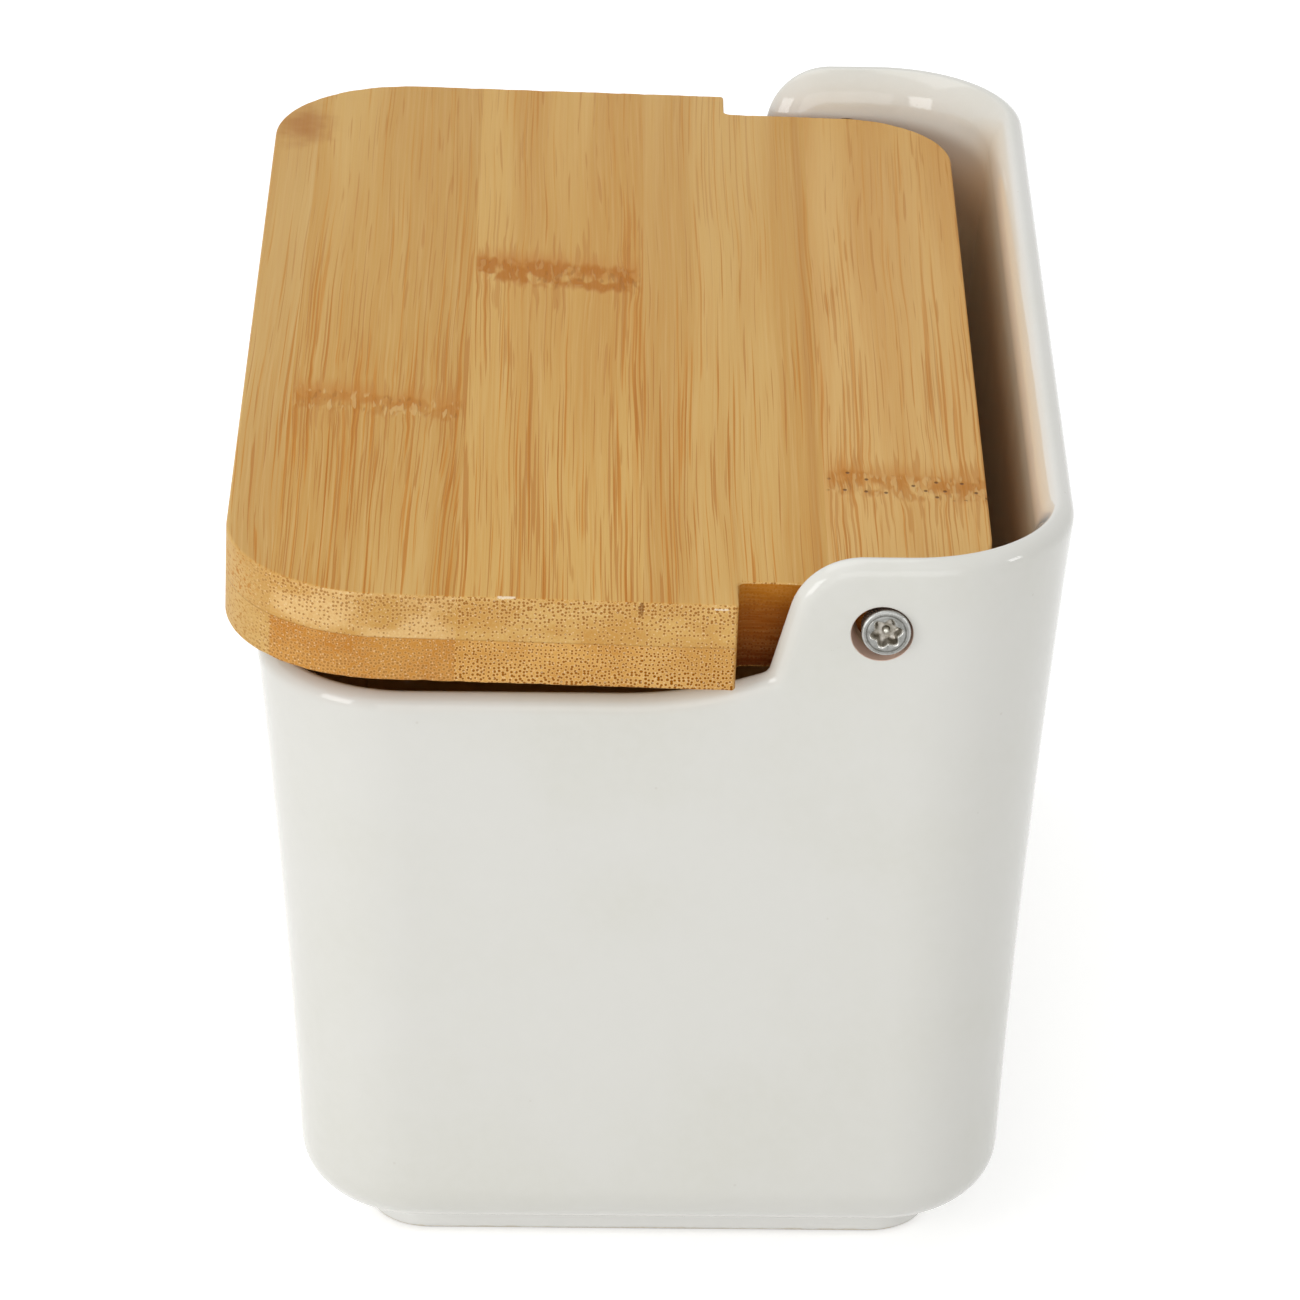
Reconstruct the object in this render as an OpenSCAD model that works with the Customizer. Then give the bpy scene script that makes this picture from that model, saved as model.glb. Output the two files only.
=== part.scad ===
// Salt box: a glazed ceramic box whose back wall and two ears stand above a low rim,
// with a laminated bamboo lid hung between the ears on two pan-head screws.
// The front, where the lid opens, faces -Y. The hinge axis runs along X.

/* [Ceramic box] */
// Length of the box over its end walls, at the low rim
box_length = 160.4; // [140:0.2:190]
// Depth of the box over its front and back walls, at the low rim
box_depth = 97.8; // [88:0.2:115]
// Height of the low rim above the table
rim_height = 82; // [65:0.5:110]
// Rise of the ears and the back wall above the low rim
ear_rise = 19.2; // [17:0.2:24]
// Thickness of the ceramic wall
wall = 4.3; // [3.6:0.1:5.4]
// Radius of the rounding along the outside of the rim
rim_outer_radius = 2.4; // [1.5:0.1:2.8]
// Radius of the wide easing along the inside of the rim
rim_inner_radius = 7; // [3:0.5:7.5]
// Thickness of the ceramic floor
floor_thickness = 5; // [3.5:0.1:7]
// Lean of the walls just above the foot, in degrees from upright
lean_low = 2.2; // [1.5:0.1:4]
// Lean of the walls at the top of the ears, in degrees from upright
lean_high = 5.9; // [4:0.1:6.5]
// Radius of the upright corners at the low rim, seen from above
corner_radius = 18.5; // [16:0.5:22]
// Radius of the rounded lower edge of the box
lower_edge_radius = 8; // [6:0.5:10]
// Radius of the hollow where the inside walls meet the floor
floor_fillet = 8; // [5:0.5:9]

/* [Foot] */
// Height of the foot below the underside of the box
foot_height = 3.9; // [2:0.1:5]
// Step from the end of the rounded lower edge in to the foot
foot_step = 0.7; // [0.2:0.1:1.5]
// Radius of the corners of the foot, seen from above
foot_corner_radius = 7.5; // [6:0.5:10]
// Width of the bare ring that the box stands on
foot_ring = 4.5; // [3:0.1:6]
// Depth of the hollow inside the foot ring
foot_hollow = 1.4; // [0.6:0.1:2]
// Radius of the small roundings on the foot
foot_rounding = 0.8; // [0.4:0.1:1.2]

/* [Ears] */
// Length of each ear, from the outside of the back wall to the middle of the ear's front edge
ear_length = 34.1; // [32:0.1:38]
// Steepness of the ear's front edge, in degrees from level
ear_steepness = 75; // [66:1:80]
// Radius of the rounded shoulder at the top of the ear's front edge
shoulder_radius = 8.9; // [7:0.1:10.5]
// Radius of the tight hollow at the foot of the ear's front edge
heel_radius = 1.5; // [1:0.1:4]
// Radius of the long ramp by which the low rim runs up to the ear
ramp_radius = 50; // [20:1:60]
// Angle to which the ramp climbs before the tight hollow, in degrees
ramp_angle = 20; // [14:0.1:24]

/* [Bamboo lid] */
// Thickness of the lid, both plies together
lid_thickness = 11.4; // [9:0.2:13]
// Overhang of the lid past the front wall, for the fingers
front_overhang = 3.4; // [2.5:0.1:7]
// Overhang of the lid past each end wall
end_overhang = 2.2; // [0.5:0.1:4]
// Gap between the lid's rear edge and the back wall
rear_gap = 5.2; // [3.4:0.1:6]
// Gap at each end between the narrow rear part of the lid and the ear
ear_gap = 1.2; // [0.4:0.1:2]
// Gap between the lid's notch and the middle of the ear's front edge
notch_gap = 5.2; // [3:0.1:7]
// Radius of the lid's two front corners
lid_front_radius = 19.4; // [12:0.1:24]
// Radius of the lid's two rear corners
lid_rear_radius = 14.8; // [8:0.1:16]
// Radius in the inner corner of each notch
notch_radius = 1.2; // [0.6:0.1:2.5]
// Width of the bevel along the lid's outer edges
lid_bevel = 0.5; // [0.2:0.1:1]
// Width of one full bamboo strip
strip_width = 22.3; // [18:0.1:26]
// Width of the cut-down strip along the front edge
front_strip_width = 6; // [4:0.5:12]
// Tilt of the resting lid, front up, in degrees
lid_tilt = 1.5; // [0.5:0.1:2.5]
// Clearance between the lid and the ramp that it rests on
seat_gap = 0.4; // [0.2:0.05:0.5]

/* [Hinge] */
// Diameter of the hole through each ear
hole_diameter = 7.6; // [7:0.1:8.6]
// Diameter of the screw's head, which turns in the hole
head_diameter = 5.9; // [5:0.1:6.4]
// Height of the screw's head
head_height = 2.5; // [2:0.1:3]
// How far the head stands out of the ear's outer face
head_reveal = 1; // [0.6:0.1:1.4]
// Running clearance between the head and the wall of its hole
head_clearance = 0.05; // [0.02:0.01:0.1]
// Direction in which the head lies against its hole, in degrees above level, towards the back
head_lie = 49; // [20:1:80]
// Diameter of the screw's shank
shank_diameter = 3.5; // [3:0.1:4]
// Depth to which the shank goes into the lid
shank_grip = 18; // [12:0.5:24]
// Width across the tips of the six-lobe drive recess
recess_width = 3.9; // [3:0.1:4.4]
// Depth of the drive recess
recess_depth = 1.3; // [0.8:0.1:1.6]
// Distance of the screws below the lid's top face
screw_drop = 3.2; // [2.9:0.1:5]
// Distance of the screws from the lid's rear edge
screw_setback = 13.4; // [10:0.1:16]

/* [Hidden] */

glaze = [0.93, 0.925, 0.90];
bamboo_light = [0.86, 0.68, 0.40];
bamboo_mid = [0.82, 0.62, 0.34];
bamboo_dark = [0.78, 0.56, 0.28];
zinc = [0.72, 0.73, 0.74];

// Steps of the curves in the ceramic
corner_steps = 11;
rim_steps = 3;
easing_steps = 4;
edge_steps = 6;
small = 0.01;

// ---- Wall: how far the outer face lies outside the rim line at height z ----
top_height = rim_height + ear_rise;
lean_gain = (tan(lean_high) - tan(lean_low)) / top_height;
function flare(z) = tan(lean_low) * (z - rim_height)
    + lean_gain * (z * z - rim_height * rim_height) / 2;
function lean_at(z) = atan(tan(lean_low) + lean_gain * z);

// Rounded lower edge: its centre, and where it meets the wall
edge_centre_z = foot_height + lower_edge_radius;
edge_lean = lean_at(edge_centre_z);
edge_top_z = edge_centre_z - lower_edge_radius * sin(edge_lean);
edge_centre = flare(edge_top_z) - lower_edge_radius * cos(edge_lean);
foot_line = edge_centre - foot_step;
ring_line = foot_line - foot_ring;

// Hollow inside at the floor
floor_z = foot_height + floor_thickness;
hollow_centre_z = floor_z + floor_fillet;
hollow_lean = lean_at(hollow_centre_z);
hollow_top_z = hollow_centre_z - floor_fillet * sin(hollow_lean);
hollow_centre = flare(hollow_top_z) - wall - floor_fillet * cos(hollow_lean);

// Plan of the box at offset d from the rim line: its corners tighten towards the foot
corner_rate = (corner_radius - foot_corner_radius) / -foot_line;
function plan_radius(d) = corner_radius + corner_rate * d;
function straight_half(d) = box_depth / 2 + d - plan_radius(d);

// ---- Section of the rim: an outer arc, a tight crest and a wide inner arc ----
// The angle turns from 0 on the outer face to 180 on the inner face.
crest_from = 70;
crest_to = 138;
crest_radius = (wall - rim_outer_radius * (1 - cos(crest_from)) - rim_inner_radius * (1 + cos(crest_to)))
    / (cos(crest_from) - cos(crest_to));
outer_drop = rim_outer_radius * sin(crest_from) + crest_radius * (1 - sin(crest_from));
inner_drop = rim_inner_radius * sin(crest_to) + crest_radius * (1 - sin(crest_to));
function rim_inset(a) = a < crest_from ? rim_outer_radius * (1 - cos(a))
    : a < crest_to ? rim_outer_radius * (1 - cos(crest_from)) + crest_radius * (cos(crest_from) - cos(a))
    : wall - rim_inner_radius * (1 + cos(a));
function rim_drop(a) = a < crest_from ? outer_drop - rim_outer_radius * sin(a)
    : a < crest_to ? crest_radius * (1 - sin(a))
    : inner_drop - rim_inner_radius * sin(a);
rim_angles = concat(
    [for (i = [1:rim_steps]) crest_from * i / rim_steps],
    [for (i = [1:rim_steps]) crest_from + (crest_to - crest_from) * i / rim_steps],
    [for (i = [1:easing_steps - 1]) crest_to + (180 - crest_to) * i / easing_steps]);

// ---- Edge of the ear, a chain of arcs seen along X: ramp, heel, flank, shoulder ----
ear_front_y = box_depth / 2 - ear_length;
arc_rise = (ramp_radius * (1 - cos(ramp_angle)))
    + heel_radius * (cos(ramp_angle) - cos(ear_steepness))
    + shoulder_radius * (1 - cos(ear_steepness));
flank = (ear_rise - arc_rise) / sin(ear_steepness);
ramp_run = ramp_radius * sin(ramp_angle);
heel_run = heel_radius * (sin(ear_steepness) - sin(ramp_angle));
ramp_start_y = ear_front_y - flank * cos(ear_steepness) / 2 - heel_run - ramp_run;
ramp_centre = [ramp_start_y, ramp_radius];
heel_centre = ramp_centre + (ramp_radius - heel_radius) * [sin(ramp_angle), -cos(ramp_angle)];
flank_low = heel_centre + heel_radius * [sin(ear_steepness), -cos(ear_steepness)];
flank_high = flank_low + flank * [cos(ear_steepness), sin(ear_steepness)];
shoulder_centre = flank_high + shoulder_radius * [sin(ear_steepness), -cos(ear_steepness)];

// Points of the ear's edge, as [y, height above the low rim, direction of the edge]
function arc_points(centre, radius, from, to, steps) = [for (i = [0:steps - 1])
    let (a = from + (to - from) * (i + 0.5) / steps)
    [centre[0] + radius * sin(a), centre[1] - radius * cos(a), a]];
ear_edge = concat(
    [[ramp_start_y, 0, 0]],
    arc_points(ramp_centre, ramp_radius, 0, ramp_angle, 3),
    arc_points(heel_centre, heel_radius, ramp_angle, ear_steepness, 6),
    [for (t = [0, 0.5, 1]) [flank_low[0] + t * (flank_high[0] - flank_low[0]),
        flank_low[1] + t * (flank_high[1] - flank_low[1]), ear_steepness]],
    arc_points(shoulder_centre, -shoulder_radius, ear_steepness, 0, 8),
    [[shoulder_centre[0], ear_rise, 0]]);
edge_last = len(ear_edge) - 1;

// Height of the rim at the ramp, at a place y
function ramp_height(y) = y <= ramp_start_y ? 0
    : ramp_radius - sqrt(ramp_radius * ramp_radius - pow(y - ramp_start_y, 2));

// ---- Lid and hinge positions, in the box's own plan ----
lid_front_y = -box_depth / 2 - front_overhang;
notch_y = ear_front_y - notch_gap;
seat_y = notch_y;
lid_half = box_length / 2 + end_overhang;

// The lid's underside meets the ramp at the notch: that sets the pivot's height
lid_level_z = rim_height + ramp_height(seat_y) + seat_gap + lid_thickness;
lid_rear_y = box_depth / 2 + flare(lid_level_z) - wall - rear_gap;
pivot_y = lid_rear_y - screw_setback;
pivot_z = rim_height + ramp_height(seat_y) + seat_gap
    + (lid_thickness - screw_drop) * cos(lid_tilt) - (pivot_y - seat_y) * sin(lid_tilt);
rear_half = box_length / 2 + flare(pivot_z) - wall - ear_gap;
lid_front = lid_front_y - pivot_y;
lid_rear = lid_rear_y - pivot_y;
lid_notch = notch_y - pivot_y;
lid_top = screw_drop;
lid_bottom = screw_drop - lid_thickness;
glue_line = screw_drop - lid_thickness / 2;

// The head lies against the upper back of its hole
head_shift = (hole_diameter - head_diameter) / 2 - head_clearance;
hole_y = pivot_y - head_shift * cos(head_lie);
hole_z = pivot_z - head_shift * sin(head_lie);
head_face = box_length / 2 + flare(pivot_z) + head_reveal;

// Shift that puts the middle of the part's outline over the origin
front_reach = pivot_y + lid_front * cos(lid_tilt) + (lid_bottom + lid_bevel) * sin(lid_tilt);
back_reach = box_depth / 2 + flare(top_height - outer_drop);
middle_y = (front_reach + back_reach) / 2;

// ---- Ceramic skin ----
// A column is [kind, quarter, value]: a corner angle, or a place along an end wall.
function corner_columns(quarter) = [for (i = [0:corner_steps]) [0, quarter, 90 * i / corner_steps]];
function wall_columns(list, quarter) = [for (p = list) [1, quarter, p]];
ear_list = [for (i = [0:edge_last]) i];
ear_back_list = [for (i = [edge_last:-1:0]) i];
columns = concat(
    corner_columns(0), wall_columns(ear_list, 0), corner_columns(1),
    corner_columns(2), wall_columns(ear_back_list, 1), corner_columns(3));
column_count = len(columns);

// Height of a column's edge above the low rim, and the direction of the edge there
function edge_of(c) = c[0] == 1 ? ear_edge[c[2]]
    : (c[1] == 0 || c[1] == 3) ? [0, 0, 0] : [0, ear_rise, 0];

// Height from which the columns lean towards the ear's edge
belt_z = rim_height - 12;

// Share of an end wall's straight run at which a column has its foot, upright below the edge
function foot_share(i) = (ear_edge[i][0] + outer_drop * sin(ear_edge[i][2])) / straight_half(flare(belt_z));

// Point of the skin on column c, at offset d and height z, at y on an end wall
function corner_point(c, d, z) = let (r = plan_radius(d),
    a = -90 + 90 * c[1] + c[2],
    cx = (c[1] == 0 || c[1] == 1 ? 1 : -1) * (box_length / 2 + d - r),
    cy = (c[1] == 0 || c[1] == 3 ? -1 : 1) * (box_depth / 2 + d - r))
    [cx + r * cos(a), cy + r * sin(a), z];
function wall_point(c, d, y, z) = [(c[1] == 0 ? 1 : -1) * (box_length / 2 + d), y, z];
function plain_point(c, d, z) = c[0] == 0 ? corner_point(c, d, z)
    : wall_point(c, d, foot_share(c[2]) * straight_half(d), z);

// A column's edge, seen at a distance below the crest and square to the ear's edge
function below_edge(c, drop) = let (e = edge_of(c))
    [e[0] + drop * sin(e[2]), rim_height + e[1] - drop * cos(e[2])];
function edge_point(c, d, y, z) = c[0] == 0 ? corner_point(c, d, z) : wall_point(c, d, y, z);

function lean_point(c, across, drop, t) = let (e = below_edge(c, drop),
    z = belt_z + (e[1] - belt_z) * t,
    y = c[0] == 1 ? foot_share(c[2]) * straight_half(flare(belt_z)) : 0)
    edge_point(c, flare(z) - across, y + (e[0] - y) * t, z);
function rim_point(c, a) = let (e = below_edge(c, rim_drop(a)))
    edge_point(c, flare(e[1]) - rim_inset(a), e[0], e[1]);

// Profile of the box outside, from the hollow in the foot up to the belt, as [d, z]
outside_profile = concat(
    [[ring_line - foot_hollow / 2, foot_hollow], [ring_line, 0]],
    [for (i = [0:2]) let (a = -90 + 45 * i)
        [foot_line - foot_rounding * (1 - cos(a)), foot_rounding * (1 + sin(a))]],
    [for (i = [0:2]) let (a = 180 - 45 * i)
        [foot_line + foot_rounding * (1 + cos(a)), foot_height - foot_rounding * (1 - sin(a))]],
    [for (i = [1:edge_steps]) let (a = -90 + (90 - edge_lean) * i / edge_steps)
        [edge_centre + lower_edge_radius * cos(a), edge_centre_z + lower_edge_radius * sin(a)]],
    [for (i = [1:4]) let (z = edge_top_z + (belt_z - edge_top_z) * i / 4) [flare(z), z]]);
// Profile inside, from the belt down to the floor
inside_profile = concat(
    [for (i = [0:3]) let (z = belt_z + (hollow_top_z - belt_z) * i / 4) [flare(z) - wall, z]],
    [for (i = [0:edge_steps]) let (a = -hollow_lean - (90 - hollow_lean) * i / edge_steps)
        [hollow_centre + floor_fillet * cos(a), hollow_centre_z + floor_fillet * sin(a)]]);

rows = concat(
    [for (p = outside_profile) [for (c = columns) plain_point(c, p[0], p[1])]],
    [for (t = [0.5, 1]) [for (c = columns) lean_point(c, 0, outer_drop, t)]],
    [for (a = rim_angles) [for (c = columns) rim_point(c, a)]],
    [for (t = [1, 0.5]) [for (c = columns) lean_point(c, wall, inner_drop, t)]],
    [for (p = inside_profile) [for (c = columns) plain_point(c, p[0], p[1])]]);
row_count = len(rows);

module ceramic_skin() {
    points = [for (row = rows) for (p = row) p];
    sides = [for (r = [0:row_count - 2]) for (c = [0:column_count - 1])
        let (n = (c + 1) % column_count, a = r * column_count, b = a + column_count)
        for (f = [[a + c, b + c, b + n], [a + c, b + n, a + n]]) f];
    underside = [[for (c = [0:column_count - 1]) c]];
    floor_face = [[for (c = [column_count - 1:-1:0]) (row_count - 1) * column_count + c]];
    polyhedron(points, concat(sides, underside, floor_face), convexity = 10);
}

module place() {
    translate([0, -middle_y, 0]) children();
}

module box() {
    place() color(glaze) difference() {
        ceramic_skin();
        for (side = [-1, 1])
            translate([side * (box_length / 2 - wall), hole_y, hole_z])
                rotate([0, 90, 0]) cylinder(d = hole_diameter, h = 4 * wall, center = true, $fn = 96);
    }
}

// ---- Lid ----
module on_hinge() {
    place() translate([0, pivot_y, pivot_z]) rotate([-lid_tilt, 0, 0]) children();
}

module rounded_corner(x, y, radius) {
    translate([x, y]) circle(r = radius, $fn = 96);
}

// Outline of the lid seen from above, with the hinge axis along y = 0
module lid_outline() {
    front_in = lid_half - lid_front_radius;
    rear_in = rear_half - lid_rear_radius;
    // Wide front part
    translate([-front_in, lid_front]) square([2 * front_in, lid_notch - lid_front]);
    translate([-lid_half, lid_front + lid_front_radius])
        square([2 * lid_half, lid_notch - lid_front - lid_front_radius]);
    for (side = [-1, 1]) rounded_corner(side * front_in, lid_front + lid_front_radius, lid_front_radius);
    // Narrow rear part between the ears
    translate([-rear_half, lid_notch - small])
        square([2 * rear_half, lid_rear - lid_rear_radius - lid_notch + small]);
    translate([-rear_in, lid_notch - small]) square([2 * rear_in, lid_rear - lid_notch + small]);
    for (side = [-1, 1]) rounded_corner(side * rear_in, lid_rear - lid_rear_radius, lid_rear_radius);
    // Small round in the corner of each notch
    for (side = [-1, 1]) difference() {
        translate([side > 0 ? rear_half - small : -rear_half - notch_radius, lid_notch - small])
            square([notch_radius + small, notch_radius + small]);
        rounded_corner(side * (rear_half + notch_radius), lid_notch + notch_radius, notch_radius);
    }
}

// Places of the glue joints between the strips, from the front edge back
strip_count = 5;
function joint_y(i) = i == 0 ? lid_front - 1
    : i == strip_count ? lid_rear + 1
    : lid_front + front_strip_width + (i - 1) * strip_width;

// Bevels along the lid's outer edges, cut from a face that looks up
module bevel_bar(length) {
    rotate([45, 0, 0]) cube([length, lid_bevel * sqrt(2), lid_bevel * sqrt(2)], center = true);
}
module bevel_corner(radius) {
    rotate_extrude(angle = 90, $fn = 96)
        polygon([[radius - lid_bevel, 0], [radius, -lid_bevel], [radius + 1, -lid_bevel],
            [radius + 1, 1], [radius - lid_bevel, 1]]);
}
module lid_bevels() {
    front_in = lid_half - lid_front_radius;
    rear_in = rear_half - lid_rear_radius;
    wide_run = lid_notch - lid_front - lid_front_radius;
    rear_run = lid_rear - lid_rear_radius - lid_notch;
    translate([0, lid_front, 0]) bevel_bar(2 * front_in);
    translate([0, lid_rear, 0]) bevel_bar(2 * rear_in);
    for (side = [-1, 1]) {
        translate([side * lid_half, lid_notch - wide_run / 2, 0]) rotate([0, 0, 90]) bevel_bar(wide_run);
        translate([side * rear_half, lid_notch + notch_radius + (rear_run - notch_radius) / 2, 0])
            rotate([0, 0, 90]) bevel_bar(rear_run - notch_radius);
    }
    for (turn = [0, 90]) {
        translate([(turn == 0 ? 1 : -1) * rear_in, lid_rear - lid_rear_radius, 0])
            rotate([0, 0, turn]) bevel_corner(lid_rear_radius);
        translate([(turn == 0 ? -1 : 1) * front_in, lid_front + lid_front_radius, 0])
            rotate([0, 0, 180 + turn]) bevel_corner(lid_front_radius);
    }
}

// Pilot holes for the screws, which fit their shanks
module pilot_holes() {
    for (side = [-1, 1])
        translate([side * (rear_half - shank_grip / 2), 0, 0])
            rotate([0, 90, 0]) cylinder(d = shank_diameter, h = shank_grip, center = true, $fn = 48);
}
module pilot_mouths() {
    for (side = [-1, 1])
        translate([side * (rear_half + 1), 0, 0])
            rotate([0, 90, 0]) cylinder(d = shank_diameter, h = 2 + small, center = true, $fn = 48);
}

module strip(i, low, high) {
    difference() {
        intersection() {
            translate([0, 0, low]) linear_extrude(height = high - low) lid_outline();
            translate([-2 * lid_half, joint_y(i), low - 1])
                cube([4 * lid_half, joint_y(i + 1) - joint_y(i), high - low + 2]);
        }
        if (joint_y(i + 1) > -shank_diameter / 2) {
            pilot_holes();
            pilot_mouths();
        }
    }
}
module top_strip(i, tone) {
    on_hinge() color(tone) difference() {
        strip(i, glue_line, lid_top);
        translate([0, 0, lid_top]) lid_bevels();
    }
}
module bottom_strip(i, tone) {
    on_hinge() color(tone) difference() {
        strip(i, lid_bottom, glue_line);
        translate([0, 0, lid_bottom]) mirror([0, 0, 1]) lid_bevels();
    }
}

module top_strip_1() { top_strip(0, bamboo_mid); }
module top_strip_2() { top_strip(1, bamboo_light); }
module top_strip_3() { top_strip(2, bamboo_mid); }
module top_strip_4() { top_strip(3, bamboo_light); }
module top_strip_5() { top_strip(4, bamboo_mid); }
module bottom_strip_1() { bottom_strip(0, bamboo_dark); }
module bottom_strip_2() { bottom_strip(1, bamboo_dark); }
module bottom_strip_3() { bottom_strip(2, bamboo_mid); }
module bottom_strip_4() { bottom_strip(3, bamboo_dark); }
module bottom_strip_5() { bottom_strip(4, bamboo_mid); }

// ---- Screws ----
// A pan head with a flat face and a rounded rim, on a plain shank with a point
module screw() {
    reach = head_face - rear_half + shank_grip;
    rim_round = 0.8;
    difference() {
        rotate([0, 90, 0]) rotate_extrude($fn = 96) union() {
            translate([0, head_face - head_height]) square([head_diameter / 2, head_height - rim_round]);
            translate([0, head_face - head_height]) square([head_diameter / 2 - rim_round, head_height]);
            translate([head_diameter / 2 - rim_round, head_face - rim_round]) circle(r = rim_round, $fn = 48);
            polygon([[0, head_face - reach], [shank_diameter / 2, head_face - reach + shank_diameter],
                [shank_diameter / 2, head_face - head_height + small], [0, head_face - head_height + small]]);
        }
        translate([head_face - recess_depth, 0, 0]) rotate([0, 90, 0]) drive_recess();
    }
}
module drive_recess() {
    lobe = recess_width * 0.13;
    linear_extrude(height = recess_depth + 1) {
        circle(d = recess_width * 0.74, $fn = 48);
        for (turn = [0:60:300])
            rotate([0, 0, turn]) translate([recess_width / 2 - lobe, 0]) circle(r = lobe, $fn = 32);
    }
}
module screw_right() { on_hinge() color(zinc) screw(); }
module screw_left() { on_hinge() color(zinc) mirror([1, 0, 0]) screw(); }

box();
top_strip_1();
top_strip_2();
top_strip_3();
top_strip_4();
top_strip_5();
bottom_strip_1();
bottom_strip_2();
bottom_strip_3();
bottom_strip_4();
bottom_strip_5();
screw_right();
screw_left();
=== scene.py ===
import math
from collections import namedtuple

import bmesh
import bpy
from mathutils import Matrix, Vector


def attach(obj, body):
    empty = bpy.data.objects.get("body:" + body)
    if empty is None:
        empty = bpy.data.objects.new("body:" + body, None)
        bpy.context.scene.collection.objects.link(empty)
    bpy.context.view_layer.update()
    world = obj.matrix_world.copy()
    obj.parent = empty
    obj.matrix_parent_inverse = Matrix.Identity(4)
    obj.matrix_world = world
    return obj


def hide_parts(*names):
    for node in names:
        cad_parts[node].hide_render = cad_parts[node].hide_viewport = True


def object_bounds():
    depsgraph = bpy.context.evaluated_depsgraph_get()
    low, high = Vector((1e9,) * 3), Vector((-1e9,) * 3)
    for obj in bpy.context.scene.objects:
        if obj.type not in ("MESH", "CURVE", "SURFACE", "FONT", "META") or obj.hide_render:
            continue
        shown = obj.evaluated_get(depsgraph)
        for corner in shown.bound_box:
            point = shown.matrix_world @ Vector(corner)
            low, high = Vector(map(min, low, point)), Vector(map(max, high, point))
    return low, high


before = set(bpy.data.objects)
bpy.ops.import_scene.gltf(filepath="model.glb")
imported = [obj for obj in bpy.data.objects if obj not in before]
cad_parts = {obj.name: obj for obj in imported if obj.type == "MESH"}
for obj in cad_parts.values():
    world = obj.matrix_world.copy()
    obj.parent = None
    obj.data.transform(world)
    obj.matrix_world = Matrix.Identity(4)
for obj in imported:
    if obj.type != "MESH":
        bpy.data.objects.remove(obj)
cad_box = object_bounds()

MM = 0.001

# -------- sizes in millimetres and degrees, as in the part
box_length = 160.4
box_depth = 97.8
rim_height = 82.0
ear_rise = 19.2
wall = 4.3
floor_thickness = 5.0
rim_outer_radius = 2.4
rim_inner_radius = 7.0
lean_low = 2.2
lean_high = 5.9
corner_radius = 18.5
lower_edge_radius = 8.0
floor_fillet = 8.0
foot_height = 3.9
foot_step = 0.7
foot_corner_radius = 7.5
foot_ring = 4.5
foot_hollow = 1.4
foot_rounding = 0.8
ear_length = 34.1
ear_steepness = 75.0
shoulder_radius = 8.9
heel_radius = 1.5
ramp_radius = 50.0
ramp_angle = 20.0
lid_thickness = 11.4
front_overhang = 3.4
end_overhang = 2.2
rear_gap = 5.2
ear_gap = 1.2
notch_gap = 5.2
lid_front_radius = 19.4
lid_rear_radius = 14.8
notch_radius = 1.2
lid_bevel = 0.5
strip_count = 5
strip_width = 22.3
front_strip_width = 6.0
lid_tilt = 1.5
seat_gap = 0.4
hole_diameter = 7.6
head_diameter = 5.9
head_height = 2.5
head_reveal = 1.0
head_clearance = 0.05
head_lie = 49.0
shank_diameter = 3.5
shank_grip = 18.0
recess_width = 3.9
recess_depth = 1.3
screw_drop = 3.2
screw_setback = 13.4


# -------- small geometry helpers
def sind(a):
    return math.sin(math.radians(a))


def cosd(a):
    return math.cos(math.radians(a))


def tand(a):
    return math.tan(math.radians(a))


def spread(start, stop, steps, first=0):
    """Evenly spaced values from start to stop, from the one with the number first on."""
    return [start + (stop - start) * i / steps for i in range(first, steps + 1)]


def shifted(point, distance, direction):
    """The point at a distance in a direction, in degrees."""
    return point[0] + distance * cosd(direction), point[1] + distance * sind(direction)


def quads_between(a, b):
    """Quads between two rings of as many points, given by their numbers."""
    n = len(a)
    return [(a[i], a[(i + 1) % n], b[(i + 1) % n], b[i]) for i in range(n)]


def in_cad_box(point):
    """A point in metres, held inside the CAD box against rounding."""
    return [min(max(c, low), high) for c, low, high in zip(point, cad_box[0], cad_box[1])]


# -------- the ceramic's curves, worked out from the sizes
top_height = rim_height + ear_rise
lean_gain = (tand(lean_high) - tand(lean_low)) / top_height
# height from which the columns of the skin lean towards the ear's edge
belt_z = rim_height - 12


def flare(z):
    """How far the outer face lies outside the rim line at height z."""
    return tand(lean_low) * (z - rim_height) + lean_gain * (z * z - rim_height * rim_height) / 2


def lean_at(z):
    return math.degrees(math.atan(tand(lean_low) + lean_gain * z))


edge_centre_z = foot_height + lower_edge_radius
edge_lean = lean_at(edge_centre_z)
edge_top_z = edge_centre_z - lower_edge_radius * sind(edge_lean)
edge_centre = flare(edge_top_z) - lower_edge_radius * cosd(edge_lean)
foot_line = edge_centre - foot_step
ring_line = foot_line - foot_ring
hollow_centre_z = foot_height + floor_thickness + floor_fillet
hollow_lean = lean_at(hollow_centre_z)
hollow_top_z = hollow_centre_z - floor_fillet * sind(hollow_lean)
hollow_centre = flare(hollow_top_z) - wall - floor_fillet * cosd(hollow_lean)
corner_rate = (corner_radius - foot_corner_radius) / -foot_line


def plan_radius(d):
    """Radius of the upright corners, seen from above, at offset d from the rim line."""
    return corner_radius + corner_rate * d


def straight_half(d):
    return box_depth / 2 + d - plan_radius(d)


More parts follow.
